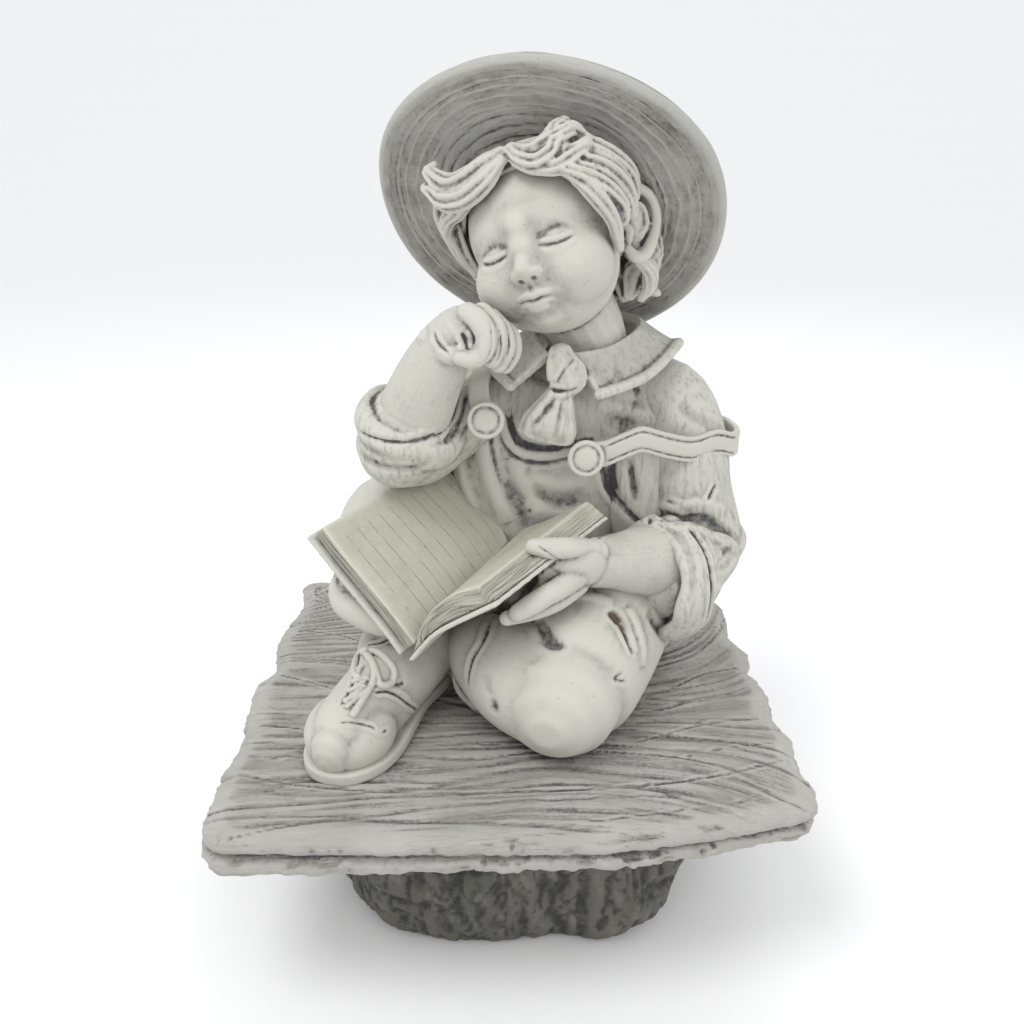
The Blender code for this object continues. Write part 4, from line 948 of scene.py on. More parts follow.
def makeSole(base):
    bm = bmesh.new()
    edge = closedPath(soleOutline, 6)
    grid = Matrix.Translation(metres(0, 0, 0)) @ Matrix.Scale(0.001, 4) @ base
    verts = [bm.verts.new(grid @ Vector((*p, 0))) for p in edge]
    for pair in zip(verts, verts[1:] + verts[:1]):
        bm.edges.new(pair)
    bottom = bmesh.ops.contextual_create(bm, geom=verts)["faces"]
    made = bmesh.ops.extrude_face_region(bm, geom=bottom)["geom"]
    lifted = [v for v in made if isinstance(v, bmesh.types.BMVert)]
    bmesh.ops.translate(bm, verts=lifted, vec=(0, 0, shoe["soleTall"] * 0.001))
    clay = Clay(fused(newObject("shoeSole", bm), 1.5, 2))
    clay.spots += clay.normals * 0.3
    rim = placed(base, [(*p, shoe["soleTall"] + 1) for p in edge + edge[:1]])
    clay.stroke([p[:3] for p in rim], 3, 0.5, "ridge", taper=0, smooth=0)
    clay.spots[:, 2] = np.maximum(clay.spots[:, 2], 0)
    return clay.keep()


shoeBase, shoeClay = makeShoe()
finished(makeLaces(shoeClay))
finished(shoeClay.keep())
finished(makeSole(shoeBase))


book = {"leafThick": 14, "boardThick": {"left": 4.5, "right": 4.5 - 1.2}, "boardGap": {"left": 2.6, "right": 0.6},
        "overhang": 4, "samples": 40}
bookSides = {   # the leaves' top edges at the near and the far end, and the bottom edges of the right half
    "left": ([(-143, -41, 167), (-120, -56, 142), (-96, -71, 117), (-82, -80, 102), (-74, -85, 92)],
             [(-61, 52, 186), (-40, 44, 169), (-18, 34, 148), (-7, 26, 134), (-2, 20, 126)]),
    "right": ([(-73, -85, 92), (-70, -86, 103), (-64, -89, 117), (-55, -94, 130), (-43, -99, 141), (-26, -104, 149)],
              [(-2, 20, 120), (2, 19, 130), (11, 15, 140), (27, 10, 149), (42, 4, 159), (60, -2, 171)],
              [(-76, -88, 84), (-68, -90, 96), (-59, -94, 108), (-47, -100, 119), (-32, -106, 130), (-13, -112, 143)],
              [(0, 16, 108), (8, 13, 118), (18, 9, 127), (34, 3, 137), (52, -4, 148), (73, -9, 161)]),
}


def makeBook():
    clays = []
    for name, lines in bookSides.items():
        lines = [[Vector(p) for p in smoothPath(line, 8)] for line in lines]
        near, far = lines[:2]
        count = len(near)
        if len(lines) == 2:
            for line in (near, far):
                drop = []
                for i in range(count):
                    along = near[min(i + 1, count - 1)] - near[max(i - 1, 0)]
                    way = (far[i] - near[i]).cross(along).normalized()
                    drop.append(line[i] + (way if way.z < 0 else -way) * book["leafThick"])
                lines.append(drop)
        lowNear, lowFar = lines[2:]
        part = bmesh.new()
        rings = []
        for corners in zip(near, far, lowFar, lowNear):
            ring = [part.verts.new(metres(*p)) for p in corners]
            for pair in zip(ring, ring[1:] + ring[:1]):
                part.edges.new(pair)
            rings.append(ring)
        bridgeRings(part, rings)
        pages = Clay(fused(newObject(name + "Pages", part), 1.25, 1, 0.3))
        steps = book["samples"]
        spots = []
        tree = KDTree(count * (steps + 1))
        for i in range(count):
            down = lowNear[i] - near[i]
            run = near[min(i + 1, count - 1)] - near[max(i - 1, 0)]
            run /= max(min(i + 1, count - 1) - max(i - 1, 0), 1)
            for j in range(steps + 1):
                spots.append((near[i].lerp(far[i], j / steps), i, j, far[i] - near[i], run, down))
                tree.insert(spots[-1][0], len(spots) - 1)
        tree.balance()
        page = np.zeros((pages.count, 3))
        for k, p in enumerate(pages.spots):
            spot, i, j, spine, run, down = spots[tree.find(p)[1]]
            away = Vector(p) - spot
            page[k] = ((i + away.dot(run) / run.length_squared) / (count - 1),
                       j / steps + away.dot(spine) / spine.length_squared, away.dot(down) / down.length_squared)
        pages.page = page
        bm = bmesh.new()
        cover = []
        for a, b, top in zip(lowNear, lowFar, near):
            spine, down = (b - a).normalized(), (a - top).normalized()
            gap = book["boardGap"][name]
            cover.append((a + down * gap - spine * book["overhang"], b + down * gap + spine * book["overhang"] * 0.5))
        if name == "left":
            outer = (cover[0][0] - cover[3][0]).normalized() * book["overhang"]
            cover.insert(0, (cover[0][0] + outer, cover[0][1] + outer))
        leaf(bm, [a for a, b in cover], [b for a, b in cover], book["boardThick"][name], rows=12)
        clays.append((pages, Clay(fused(newObject(name + "Board", bm), 1.5, 1, 0.4))))
    return clays


for pages, board in makeBook():
    store(pages.piece, "page", pages.page, "FLOAT_VECTOR")
    finished(pages.keep())
    finished(board.keep())


plank = {"wide": 440, "deep": 396, "thick": 30, "columns": 212, "rows": 190,
         "relief": 0.8, "gap": 0.3, "fray": 7, "bulge": 4}
plankOutline = [
    (-213, -178), (-150, -186), (-60, -189), (17, -191), (90, -187), (160, -174), (206, -161), (217, -140), (213, -110),
    (219, -81), (211, -52), (217, -12), (210, 18), (216, 45), (207, 80), (213, 120), (209, 150), (188, 164), (100, 176),
    (0, 187), (-100, 197), (-188, 205), (-211, 196), (-206, 150), (-216, 83), (-209, 40), (-221, 0), (-214, -60),
    (-219, -120),
]
plankLayers = [(0.05, 2.6), (0.12, 0.8), (0.28, 0), (0.38, 1.2), (0.44, 5.0), (0.5, 5.6), (0.56, 1.6), (0.66, 0.6),
               (0.8, 1.6), (0.92, 4), (1.0, 9)]
plankCracks = [
    ([(-211, -112), (-150, -128), (-60, -138), (60, -136), (140, -126), (207, -106)], 2.6, 1.5),
    ([(-213, -52), (-170, -58), (-130, -78)], 2.0, 1.2),
    ([(-211, 24), (-176, 10), (-136, -10)], 2.0, 1.2),
    ([(-205, 100), (-160, 88), (-124, 66)], 2.0, 1.2),
    ([(92, -84), (154, -60), (213, -52)], 2.2, 1.4),
    ([(123, -20), (167, 12), (211, 24)], 2.0, 1.2),
    ([(145, 66), (180, 90), (207, 96)], 2.0, 1.2),
    ([(-114, 180), (-22, 162), (132, 158)], 2.0, 1.2),
    ([(10, -176), (80, -166), (180, -150)], 1.6, 1.0),
    ([(-212, -90), (-150, -100), (-90, -104)], 1.4, 0.8),
    ([(110, -108), (160, -92), (212, -84)], 1.5, 0.9),
]


def makePlank():
    edge = np.array(closedPath(plankOutline, 8))
    edge *= np.array([plank["wide"], plank["deep"]]) / (edge.max(axis=0) - edge.min(axis=0))
    angles = np.arctan2(edge[:, 1], edge[:, 0])
    order = np.argsort(angles)
    angles, radii = angles[order], np.linalg.norm(edge[order], axis=1)

    def reach(angle):
        return np.interp(angle, angles, radii, period=2 * math.pi)

    bm = bmesh.new()
    bmesh.ops.create_grid(bm, x_segments=plank["columns"], y_segments=plank["rows"], size=1.0)
    halfWide, halfDeep = plank["wide"] / 2, plank["deep"] / 2
    for v in bm.verts:
        share = max(abs(v.co.x), abs(v.co.y))
        angle = math.atan2(v.co.y * halfDeep, v.co.x * halfWide)
        fray = plank["fray"] + noise.noise((math.cos(angle) * 9, math.sin(angle) * 9, 0)) * 2
        v.co = Vector((math.cos(angle), math.sin(angle), 0)) * (float(reach(angle)) - fray) * share
    rim = [e for e in bm.edges if e.is_boundary]
    level = 0.0
    for share, inset in plankLayers:
        made = bmesh.ops.extrude_edge_only(bm, edges=rim)["geom"]
        rim = [e for e in made if isinstance(e, bmesh.types.BMEdge) and e.is_boundary]
        for v in {v for e in rim for v in e.verts}:
            angle = math.atan2(v.co.y, v.co.x)
            out = Vector((math.cos(angle), math.sin(angle), 0))
            around = Vector((math.cos(angle) * 7, math.sin(angle) * 7, share * 1.7))
            chip = noise.noise(around * 1.3) * 3.2 + noise.noise(around * 4.7) * 2.2
            left = plank["bulge"] * min(max((-20 - v.co.x) / 80, 0), 1) if v.co.y < 0 and 0.55 < share < 0.95 else 0
            v.co = out * (float(reach(angle)) - inset - chip * (0.3 + share) + left)
            v.co.z = -plank["thick"] * share
    bmesh.ops.holes_fill(bm, edges=rim, sides=0)
    for v in bm.verts:
        v.co = Vector((v.co.x, v.co.y, v.co.z - plank["gap"])) * 0.001 + Vector((0, 0, floorHeight))
    clay = Clay(newObject("plankSlab", bm))
    x, y, z = clay.spots.T
    top = clay.normals[:, 2] > 0.6
    side = ~top & (clay.normals[:, 2] > -0.5)
    # grain fans from near straight at the front and left to slanting at the right
    lean = np.clip((x - 20) / 190, -0.2, 1) * 0.55
    lean += np.clip((y - 60) / 120, 0, 1) * np.clip((-x - 60) / 140, 0, 1) * 0.7
    across = y - lean * (x - 40) * np.clip(y / 160 + 0.35, -0.6, 1.2)
    height = np.zeros(clay.count)
    for k in range(clay.count):
        if top[k]:
            a, b = across[k], x[k]
            wave = noise.noise((b / 90, a / 26, 3.1)) * 8
            ridge = abs(noise.noise((b / 170, (a + wave) / 17, 0.4)))
            height[k] = -1.5 * max(0, 1 - ridge / 0.14) ** 2 + noise.noise((b / 110, (a + wave) / 7, 9)) * 1.3
        elif side[k]:
            height[k] = noise.noise((math.atan2(y[k], x[k]) * 9, z[k] / 2.6, 5)) * 1.5
            height[k] += noise.noise((x[k] / 9, y[k] / 9, z[k] / 5)) * 1.4
            height[k] += noise.noise((x[k] / 4.2, y[k] / 4.2, z[k] / 3)) * 1.3
    inner = np.clip((1 - np.hypot(x / halfWide, y / halfDeep)) * 9, 0.25, 1)
    rimFall = np.clip((np.hypot(x, y) / reach(np.arctan2(y, x)) - 0.94) / 0.03, 0, 1) ** 2
    clay.spots[:, 2] += np.where(top, height * plank["relief"] - rimFall * 1.6, 0)
    clay.spots[:, :2] += clay.normals[:, :2] * np.where(side, height, 0)[:, None]
    clay.refresh()
    for path, wide, deep in plankCracks:
        clay.stroke([(px, py, 0) for px, py in path], wide, -deep, "crease", stain=0.8)
    clay.spots[:, 2] = np.minimum(clay.spots[:, 2], 0)
    store(clay.piece, "grain", np.stack([x, across, z], axis=1), "FLOAT_VECTOR")
    return clay.keep()


finished(makePlank(), "plank_slab", 0.8)


stump = {"tall": 131, "wide": 316, "deep": 268, "around": 360, "rows": 76}
stumpProfile = [(0.0, 0.88), (0.03, 0.93), (0.12, 0.965), (0.26, 0.98), (0.42, 0.985), (0.58, 0.99), (0.74, 0.995),
                (0.90, 1.0), (1.0, 1.0)]
# Knots, roots and grooves: angle, height share, spread in degrees and in height share, depth in mm
stumpMarks = [
    (-62, 0.14, 11, 0.16, 12), (-50, 0.20, 8, 0.14, 9), (-38, 0.42, 9, 0.16, 8), (-28, 0.66, 10, 0.18, 9),
    (-79, 0.55, 5, 0.60, -7), (-54, 0.75, 4, 0.30, -6), (-128, 0.40, 9, 0.40, 5), (-108, 0.60, 5, 0.50, -4),
    (-150, 0.50, 6, 0.50, -5), (178, 0.40, 12, 0.50, 8), (140, 0.50, 6, 0.60, -6), (112, 0.30, 14, 0.35, 9),
    (80, 0.60, 6, 0.60, -6), (48, 0.30, 13, 0.30, 10), (20, 0.50, 6, 0.60, -6), (0, 0.35, 10, 0.40, 6),
    (-66, 0.20, 3, 0.06, -4), (-57, 0.10, 3, 0.06, -4), (-71, 0.30, 2, 0.30, -4), (-49, 0.32, 9, 0.04, -4),
    (-98, 0.62, 14, 0.03, -3), (-120, 0.35, 10, 0.03, -3), (-88, 0.25, 2, 0.25, -3), (-36, 0.55, 8, 0.03, -4),
]


def makeStump():
    bm = bmesh.new()
    rings = []
    for j in range(stump["rows"] + 1):
        place = Matrix.Translation((0, 0, j / stump["rows"]))
        rings.append(bmesh.ops.create_circle(bm, segments=stump["around"], radius=1.0, matrix=place)["verts"])
    bridgeRings(bm, rings)
    bm.verts.ensure_lookup_table()
    for v in bm.verts:
        level = v.co.z
        turn = math.atan2(v.co.y, v.co.x)
        angle = math.degrees(turn)
        share = np.interp(level, [a for a, b in stumpProfile], [b for a, b in stumpProfile])
        swell = 1 + 0.018 * math.sin(3 * turn + 0.6) + 0.012 * math.sin(7 * turn + 2.0 + level)
        push = 0.0
        for mark, height, wide, tall, deep in stumpMarks:
            gap = (angle - mark + 180) % 360 - 180
            push += deep * math.exp(-(gap / wide) ** 2 - ((level - height) / tall) ** 2)
        around = Vector((math.cos(turn) * 6, math.sin(turn) * 6, level * 2.6))
        warp = Vector((0, 0, noise.noise(around * 1.5) * 0.9))
        plate = abs(noise.noise((around + warp) * 2.1))
        bark = -1.4 * max(0, 1 - plate / 0.24) ** 2 + noise.noise(around * 1.4) * 2.6 + noise.noise(around * 3.1) * 1.9
        square = (abs(math.cos(turn)) ** 2.8 + abs(math.sin(turn)) ** 2.8) ** (-1 / 2.8)
        x = (stump["wide"] / 2 * share * swell * square + push + bark) * math.cos(turn)
        y = (stump["deep"] / 2 * share * swell * square + push + bark) * math.sin(turn)
        v.co = Vector((x, y, level * stump["tall"])) * 0.001
    return Clay(newObject("stumpBase", bm)).keep()


finished(makeStump(), "stump_base", 1.0)


dirtAndShadeSettings = {
    "reach": 0.024, "lift": 0.0012, "every": 3, "spread": 3,
    "widths": ((2, 2.6), (8, 0.8), (28, 0.2)),   # how often the form is averaged, and what that width counts for
    # rays: directions for measuring how closed in each vertex is, used for painted shade
    "rays": [(0.5, 0.1, 0.86), (-0.35, 0.45, 0.82), (-0.3, -0.55, 0.78), (0.75, -0.5, 0.43), (-0.8, 0.1, 0.6)],
}


def measureDirtAndShade():
    # hollows gather dirt: how far each vertex lies below its neighbours, at three widths; and how closed in it is by
    # nearby pieces, which the surfaces use as painted shade
    trees = {name: treeOf(piece) for name, piece in pieces.items()}
    boxes = {}
    for name, piece in pieces.items():
        corners = np.array([tuple(c) for c in piece.bound_box])
        boxes[name] = corners.min(axis=0), corners.max(axis=0)
    rays = [Vector(ray) for ray in dirtAndShadeSettings["rays"]]
    reach = dirtAndShadeSettings["reach"]
    for name, piece in pieces.items():
        low, high = boxes[name][0] - reach, boxes[name][1] + reach
        near = [trees[other] for other, (a, b) in boxes.items() if np.all(a < high) and np.all(b > low)]
        clay = Clay(piece)
        hollow = np.zeros(clay.count)
        soft = clay.spots.copy()
        done = 0
        for times, gain in dirtAndShadeSettings["widths"]:
            for _ in range(times - done):
                soft = clay.average(soft)
            done = times
            hollow += np.clip(((soft - clay.spots) * clay.normals).sum(axis=1) * gain, -0.5, 0.8)
        # closed: short rays to nearby pieces; where they are blocked, the surfaces are darkened later as painted shade
        closed, known = np.zeros((clay.count, 1)), np.zeros((clay.count, 1))
        for k in range(0, clay.count, dirtAndShadeSettings["every"]):
            up = Vector(clay.normals[k])
            turn = up.to_track_quat("Z", "Y")
            start = metres(*clay.spots[k]) + up * dirtAndShadeSettings["lift"]
            total = 0.0
            for ray in rays:
                way = turn @ ray
                best = reach
                for tree in near:
                    far = tree.ray_cast(start, way, best)[3]
                    if far is not None:
                        best = far
                total += 1 - best / reach
            closed[k] = total / len(rays)
            known[k] = 1
        filled, share = closed.copy(), known.copy()
        for _ in range(dirtAndShadeSettings["spread"]):
            filled, share = filled + clay.average(filled), share + clay.average(share)
        closed = filled / np.maximum(share, 1e-6)
        store(piece, "hollow", np.clip(hollow, -1, 1))
        # stored 'closed' is painted shade (occlusion), not dirt
        store(piece, "closed", np.clip(closed[:, 0], -1, 1))
    print("dirt measured")


measureDirtAndShade()


class Sum:
    # a shader value that can be written in plain arithmetic
    def __init__(self, sheet, socket):
        self.sheet, self.socket = sheet, socket

    def join(self, kind, *others):
        node = self.sheet.tree.nodes.new("ShaderNodeMath")
        node.operation = kind
        for i, other in enumerate((self, *others)):
            self.sheet.plug(node.inputs[i], other)
        return Sum(self.sheet, node.outputs[0])

    def __add__(self, other):
        return self.join("ADD", other)

    def __sub__(self, other):
        return self.join("SUBTRACT", other)

    def __rsub__(self, other):
        return self.sheet.value(other).join("SUBTRACT", self)

    def __mul__(self, other):
        return self.join("MULTIPLY", other)

    def __truediv__(self, other):
        return self.join("DIVIDE", other)

    __rmul__ = __mul__

    def within(self, low=0.0, high=1.0):
        return self.join("MAXIMUM", low).join("MINIMUM", high)

    def band(self, low, high):
        # 0 below low and 1 above high, rising softly between
        part = ((self - low) / (high - low)).within()
        return part * part * (3 - 2 * part)


class Sheet:
    # one material, built node by node
    def __init__(self, name):
        self.surface = bpy.data.materials.new(name)
        self.surface.use_nodes = True
        self.tree = self.surface.node_tree
        self.shader = self.tree.nodes["Principled BSDF"]

    def plug(self, socket, value):
        if isinstance(value, Sum):
            self.tree.links.new(value.socket, socket)
        elif isinstance(value, (tuple, list)) and len(value) == 3 and len(socket.default_value) == 4:
            socket.default_value = (*value, 1.0)
        else:
            socket.default_value = value

    def node(self, kind, out=0, settings=None, **inputs):
        made = self.tree.nodes.new("ShaderNode" + kind)
        for name, value in (settings or {}).items():
            setattr(made, name, value)
        for name, value in inputs.items():
            self.plug(made.inputs[name.replace("_", " ")], value)
        return Sum(self, made.outputs[out])

    def value(self, number):
        made = self.tree.nodes.new("ShaderNodeValue")
        made.outputs[0].default_value = number
        return Sum(self, made.outputs[0])

    def stored(self, name, out="Fac"):
        return self.node("Attribute", out, {"attribute_name": name})

    def place(self):
        return self.node("TexCoord", "Object")

    def stretched(self, vector, scale):
        made = self.tree.nodes.new("ShaderNodeVectorMath")
        made.operation = "MULTIPLY"
        self.plug(made.inputs[0], vector)
        made.inputs[1].default_value = scale
        return Sum(self, made.outputs[0])

    def parts(self, vector):
        node = self.tree.nodes.new("ShaderNodeSeparateXYZ")
        self.plug(node.inputs[0], vector)
        return [Sum(self, out) for out in node.outputs]

    def grit(self, vector, scale, detail=4.0, rough=0.6):
        settings = {"noise_dimensions": "3D"}
        return self.node("TexNoise", "Fac", settings, Vector=vector, Scale=scale, Detail=detail, Roughness=rough)

    def blend(self, share, first, second):
        made = self.tree.nodes.new("ShaderNodeMix")
        made.data_type = "RGBA"
        self.plug(made.inputs["Factor"], share)
        self.plug(made.inputs["A"], first)
        self.plug(made.inputs["B"], second)
        return Sum(self, made.outputs["Result"])

    def finish(self, colour, roughness, height, strength=0.4, distance=0.0008):
        self.plug(self.shader.inputs["Base Color"], colour)
        self.plug(self.shader.inputs["Roughness"], roughness)
        self.shader.inputs["Metallic"].default_value = 0.0
        self.shader.inputs["Specular IOR Level"].default_value = 0.3
        bump = self.tree.nodes.new("ShaderNodeBump")
        bump.inputs["Strength"].default_value = strength
        bump.inputs["Distance"].default_value = distance
        self.plug(bump.inputs["Height"], height)
        self.tree.links.new(bump.outputs[0], self.shader.inputs["Normal"])
        return self.surface


boyTones = {   # worn faces, dark tone for dirt with painted shade, and wash tone with painted shade
    "plain": ((0.49, 0.487, 0.438), (0.036, 0.038, 0.042), (0.27, 0.268, 0.242)),
    "cloth": ((0.49, 0.487, 0.438), (0.036, 0.038, 0.042), (0.27, 0.268, 0.242)),
    "page": ((0.49, 0.486, 0.405), (0.045, 0.047, 0.05), (0.36, 0.354, 0.29)),
    "hat": ((0.39, 0.386, 0.36), (0.032, 0.035, 0.045), (0.18, 0.165, 0.14)),
    "brown": (0.17, 0.09, 0.04), "rows": 11.0,
}


def stoneSurface(name, kind):
    # aged cast stone: pale worn faces, a grey wash, dark dirt in hollows and fine grit; the wash and the dark both also
    # carry painted shade where the parts close each other in
    pale, deep, washAndShadeTone = boyTones[kind]
    sheet = Sheet(name)
    place = sheet.place()
    # closed: how closed in the surface is, used below as painted shade
    hollow, closed, mark, cloth = [sheet.stored(n) for n in ("hollow", "closed", "stain", "cloth")]
    broad = sheet.grit(place, 9, 3)
    middle = sheet.grit(place, 42, 5, 0.65)
    fine = sheet.grit(place, 210, 4, 0.7)
    speck = sheet.grit(place, 620, 2)
    height = middle * 0.5 + fine * 0.35 + speck * 0.25
    # dark mask: dirt in hollows and stains, plus painted shade from how closed in the surface is
    dirtAndPaintedShade = hollow * 0.75 + mark * 0.7 + closed * 0.85 + (middle - 0.5) * 0.9 + (fine - 0.5) * 1.4
    dirtAndPaintedShade = (dirtAndPaintedShade - 0.26).band(0.0, 0.9)
    # grey wash: mostly painted shade from how closed in the surface is, with hollows and noise
    washAndPaintedShade = closed * 1.5 + hollow * 0.6 + (broad - 0.5) * 2.0 + (middle - 0.5) * 2.2 + (fine - 0.5) * 1.6
    washAndPaintedShade = (washAndPaintedShade + 0.18).within()
    if kind == "cloth":
        # brushed strokes in the fabric
        strokes = sheet.grit(sheet.stretched(place, (1.0, 1.0, 0.22)), 260, 3, 0.6)
        strokes = (strokes - 0.5) * cloth
        height = height + strokes * 1.6
        dirtAndPaintedShade = (dirtAndPaintedShade + strokes.join("MULTIPLY", -1.9)).within()
    if kind == "page":
        across, along, depth = sheet.parts(sheet.stored("page", "Vector"))
        edge = (depth - 0.03).band(0.0, 0.07)
        leaves = sheet.grit(sheet.stretched(sheet.stored("page", "Vector"), (3, 3, 22)), 1.0, 2, 0.5)
        leaves = (leaves - 0.5) * edge
        row = (along * boyTones["rows"] - 0.6).join("FRACT")
        gap = (row - 0.5).join("ABSOLUTE")
        line = (1 - gap.band(0.0, 0.03)) * (1 - edge) * across.band(0.08, 0.12)
        line = line * (1 - across.band(0.9, 0.95)) * (along - 0.04).band(0, 0.02)
        line = line * sheet.grit(place, 60, 2).band(0.3, 0.55)
        height = height + leaves * 5.0 - line * 1.2
        dirtAndPaintedShade = dirtAndPaintedShade + leaves.join("MULTIPLY", -3.4) * (1.2 - along * 0.7) + line * 0.55
        dirtAndPaintedShade = (dirtAndPaintedShade + edge * (0.35 - along * 0.3)).within()
    if kind == "hat":
        around, out, row = sheet.parts(sheet.stored("weave", "Vector"))
        streak = sheet.grit(sheet.stretched(sheet.stored("weave", "Vector"), (1.2, 26, 2)), 1.0, 4, 0.65)
        height = height + (streak - 0.5) * 1.4
        dirtAndPaintedShade = (dirtAndPaintedShade + (streak - 0.5) * 0.8).within()
    pores = 1 - sheet.grit(place, 420, 1).band(0.2, 0.27)
    wear = (hollow.join("MULTIPLY", -1.6) + (fine - 0.45) * 0.6).within()
    # blend toward the wash tone: painted shade and wash
    colour = sheet.blend(washAndPaintedShade * 0.72, pale, washAndShadeTone)
    colour = sheet.blend(wear * 0.5, colour, tuple(min(c * 1.3, 1) for c in pale))
    # blend toward the darkest tone: dirt plus painted shade
    colour = sheet.blend(dirtAndPaintedShade * 0.86, colour, deep)
    colour = sheet.blend(pores * 0.4, colour, deep)
    colour = sheet.blend(sheet.stored("brown") * middle.band(0.25, 0.6) * 0.85, colour, boyTones["brown"])
    return sheet.finish(colour, 0.86 - dirtAndPaintedShade * 0.08, height - pores * 0.6, 0.6, 0.0009)


plankTones = {"grey": (0.27, 0.258, 0.23), "light": (0.37, 0.36, 0.332), "fibre": (0.5, 0.49, 0.46),
              "worn": (0.52, 0.51, 0.48), "dirtAndPaintedShade": (0.045, 0.045, 0.048)}


def plankSurface():
    sheet = Sheet("plankStone")
    place = sheet.place()
    grain = sheet.stored("grain", "Vector")
    # closed: how closed in the surface is, used below as painted shade
    hollow, closed, mark = [sheet.stored(n) for n in ("hollow", "closed", "stain")]
    long = sheet.grit(sheet.stretched(grain, (0.006, 0.09, 0.25)), 1.0, 5, 0.7)
    fine = sheet.grit(sheet.stretched(grain, (0.02, 0.34, 0.4)), 1.0, 5, 0.75)
    saw = sheet.grit(sheet.stretched(grain, (0.012, 0.2, 0.3)), 1.0, 2, 0.6)
    patch = sheet.grit(place, 14, 5, 0.65)
    speck = sheet.grit(place, 300, 4, 0.7)
    line = 1 - (saw - 0.5).join("ABSOLUTE").band(0.0, 0.012)
    line = line * sheet.grit(place, 22, 2).band(0.4, 0.6)
    height = long * 0.8 + fine * 0.9 + speck * 0.4 - line * 0.6
    # dark mask: dirt, grain and saw lines, plus painted shade from how closed in the surface is
    dirtAndPaintedShade = (hollow * 0.55 + mark * 0.45 + closed * 0.85 + line * 0.4 + (0.5 - fine) * 2.6 + (0.5 - long) * 2.0 +
            (speck - 0.5) * 1.8 + (patch - 0.5) * 1.6 + 0.05).within()
    colour = sheet.blend(patch.band(0.35, 0.65), plankTones["grey"], plankTones["light"])
    colour = sheet.blend((fine - 0.5).band(0.02, 0.2) * 0.6, colour, plankTones["fibre"])
    colour = sheet.blend(hollow.join("MULTIPLY", -1.2).within() * 0.5, colour, plankTones["worn"])
    # blend toward the darkest tone: dirt plus painted shade
    colour = sheet.blend(dirtAndPaintedShade * 0.85, colour, plankTones["dirtAndPaintedShade"])
    return sheet.finish(colour, 0.88 - dirtAndPaintedShade * 0.05, height, 0.6, 0.001)


stumpTones = {"dark": (0.072, 0.072, 0.062), "grey": (0.115, 0.112, 0.096), "bark": (0.2, 0.195, 0.17),
              "worn": (0.22, 0.215, 0.19), "dirtAndPaintedShade": (0.03, 0.031, 0.03)}


def stumpSurface():
    sheet = Sheet("stumpStone")
    place = sheet.place()
    # closed: how closed in the surface is, used below as painted shade
    hollow, closed = sheet.stored("hollow"), sheet.stored("closed")
    bark = sheet.grit(sheet.stretched(place, (1, 1, 0.6)), 75, 6, 0.72)
    plate = sheet.grit(sheet.stretched(place, (1, 1, 0.4)), 18, 4, 0.6)
    speck = sheet.grit(place, 260, 4, 0.7)
    # dark mask: bark dirt and specks, plus painted shade from how closed in the surface is
    dirtAndPaintedShade = (hollow * 0.6 + closed * 0.6 + (0.5 - bark) * 3.0 + (speck - 0.5) * 2.4 + 0.2).within()
    colour = sheet.blend(plate.band(0.3, 0.7), stumpTones["dark"], stumpTones["grey"])
    colour = sheet.blend((bark - 0.5).band(0, 0.2) * 0.6, colour, stumpTones["bark"])
    colour = sheet.blend(hollow.join("MULTIPLY", -0.8).within() * 0.3, colour, stumpTones["worn"])
    # blend toward the darkest tone: dirt plus painted shade
    colour = sheet.blend(dirtAndPaintedShade * 0.8, colour, stumpTones["dirtAndPaintedShade"])
    return sheet.finish(colour, 0.9 - dirtAndPaintedShade * 0.04, bark * 1.4 + plate * 0.6 + speck * 0.5, 0.8, 0.0014)


surfaces = {
    "plain": stoneSurface("boyStone", "plain"),
    "cloth": stoneSurface("boyStoneCloth", "cloth"),
    "page": stoneSurface("boyStonePage", "page"),
    "hat": stoneSurface("boyStoneHat", "hat"),
    "plank": plankSurface(),
    "stump": stumpSurface(),
}
wearing = {
    "strawHat": "hat", "torso": "cloth", "collarAndKerchief": "cloth", "rightSleeve": "cloth", "leftSleeve": "cloth",
    "leftPages": "page", "rightPages": "page", "plankSlab": "plank", "stumpBase": "stump",
}
for piece in pieces.values():
    piece.data.materials.clear()
    piece.data.materials.append(surfaces[wearing.get(piece.name, "plain")])
print("surfaces made")


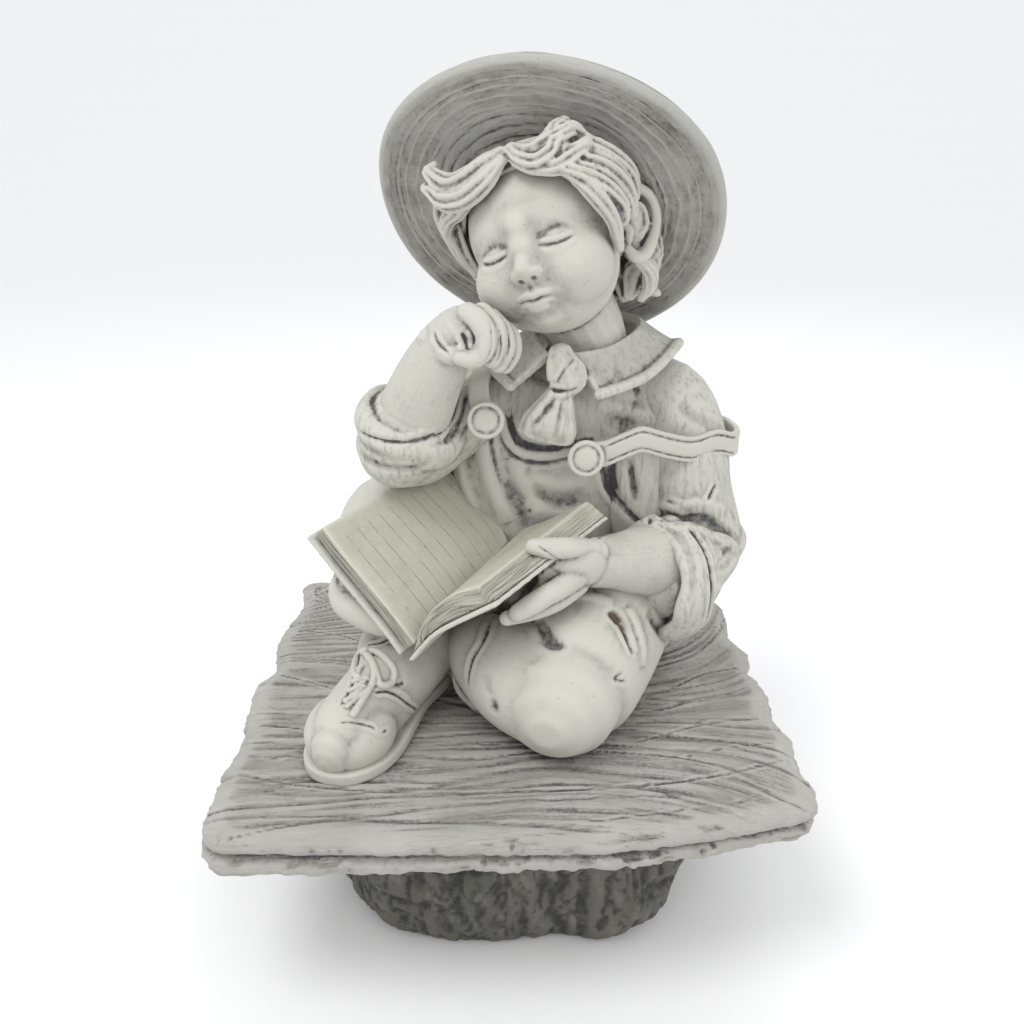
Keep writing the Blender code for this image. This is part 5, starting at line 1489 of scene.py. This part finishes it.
studio = {
    "floorSize": 7.0, "floorBend": 4.0, "floorTone": 0.93, "skyTone": (0.98, 0.985, 1.0), "skyStrength": 0.95,
    "camera": (-0.018, -0.685, 0.612), "pitch": 22.9, "yaw": 1.5, "sensor": 36.0,
    "focal": 940 / 1024,   # as a share of the picture's width
    "lamps": (   # name, place, height aimed at, size and power
        ("key", (-0.9, -0.8, 2.4), 0.35, 1.1, 20),
        ("fill", (1.6, -1.2, 1.3), 0.35, 1.6, 5),
        ("back", (0.5, 1.8, 1.9), 0.4, 1.2, 6),
    ),
}


def placeInScene(name, data, spot, turn):
    made = bpy.data.objects.new(name, data)
    made.location = spot
    made.rotation_euler = turn
    bpy.context.scene.collection.objects.link(made)
    return made


def makeStudio():
    # a floor that sweeps up behind the statue
    size = studio["floorSize"]
    bm = bmesh.new()
    bmesh.ops.create_grid(bm, x_segments=1, y_segments=1, size=size)
    back = [e for e in bm.edges if all(v.co.y > size - 1 for v in e.verts)]
    made = bmesh.ops.extrude_edge_only(bm, edges=back)["geom"]
    bmesh.ops.translate(bm, verts=[v for v in made if isinstance(v, bmesh.types.BMVert)], vec=(0, 0, size))
    bmesh.ops.bevel(bm, geom=back, offset=studio["floorBend"], segments=24, profile=0.5, affect="EDGES", material=-1)
    floor = newObject("studioFloor", bm)
    plain = bpy.data.materials.new("studioFloor")
    plain.use_nodes = True
    plain.node_tree.nodes["Principled BSDF"].inputs["Base Color"].default_value = (*[studio["floorTone"]] * 3, 1)
    plain.node_tree.nodes["Principled BSDF"].inputs["Roughness"].default_value = 0.9
    floor.data.materials.append(plain)
    world = bpy.data.worlds.new("studio")
    world.use_nodes = True
    world.node_tree.nodes["Background"].inputs["Color"].default_value = (*studio["skyTone"], 1)
    world.node_tree.nodes["Background"].inputs["Strength"].default_value = studio["skyStrength"]
    bpy.context.scene.world = world
    for name, place, aim, wide, power in studio["lamps"]:
        lamp = bpy.data.lights.new(name, "AREA")
        lamp.shape = "DISK"
        lamp.size = wide
        lamp.energy = power
        way = Vector((0, 0, aim)) - Vector(place)
        placeInScene(name, lamp, place, way.to_track_quat("-Z", "Y").to_euler())
    bpy.context.scene.view_settings.view_transform = "Standard"
    view = bpy.data.cameras.new("photoView")
    view.sensor_width = studio["sensor"]
    view.lens = studio["focal"] * studio["sensor"]
    view.clip_start = 0.01
    turn = (math.radians(90 - studio["pitch"]), 0, math.radians(-studio["yaw"]))
    bpy.context.scene.camera = placeInScene("photoView", view, studio["camera"], turn)
    print("studio made")


makeStudio()
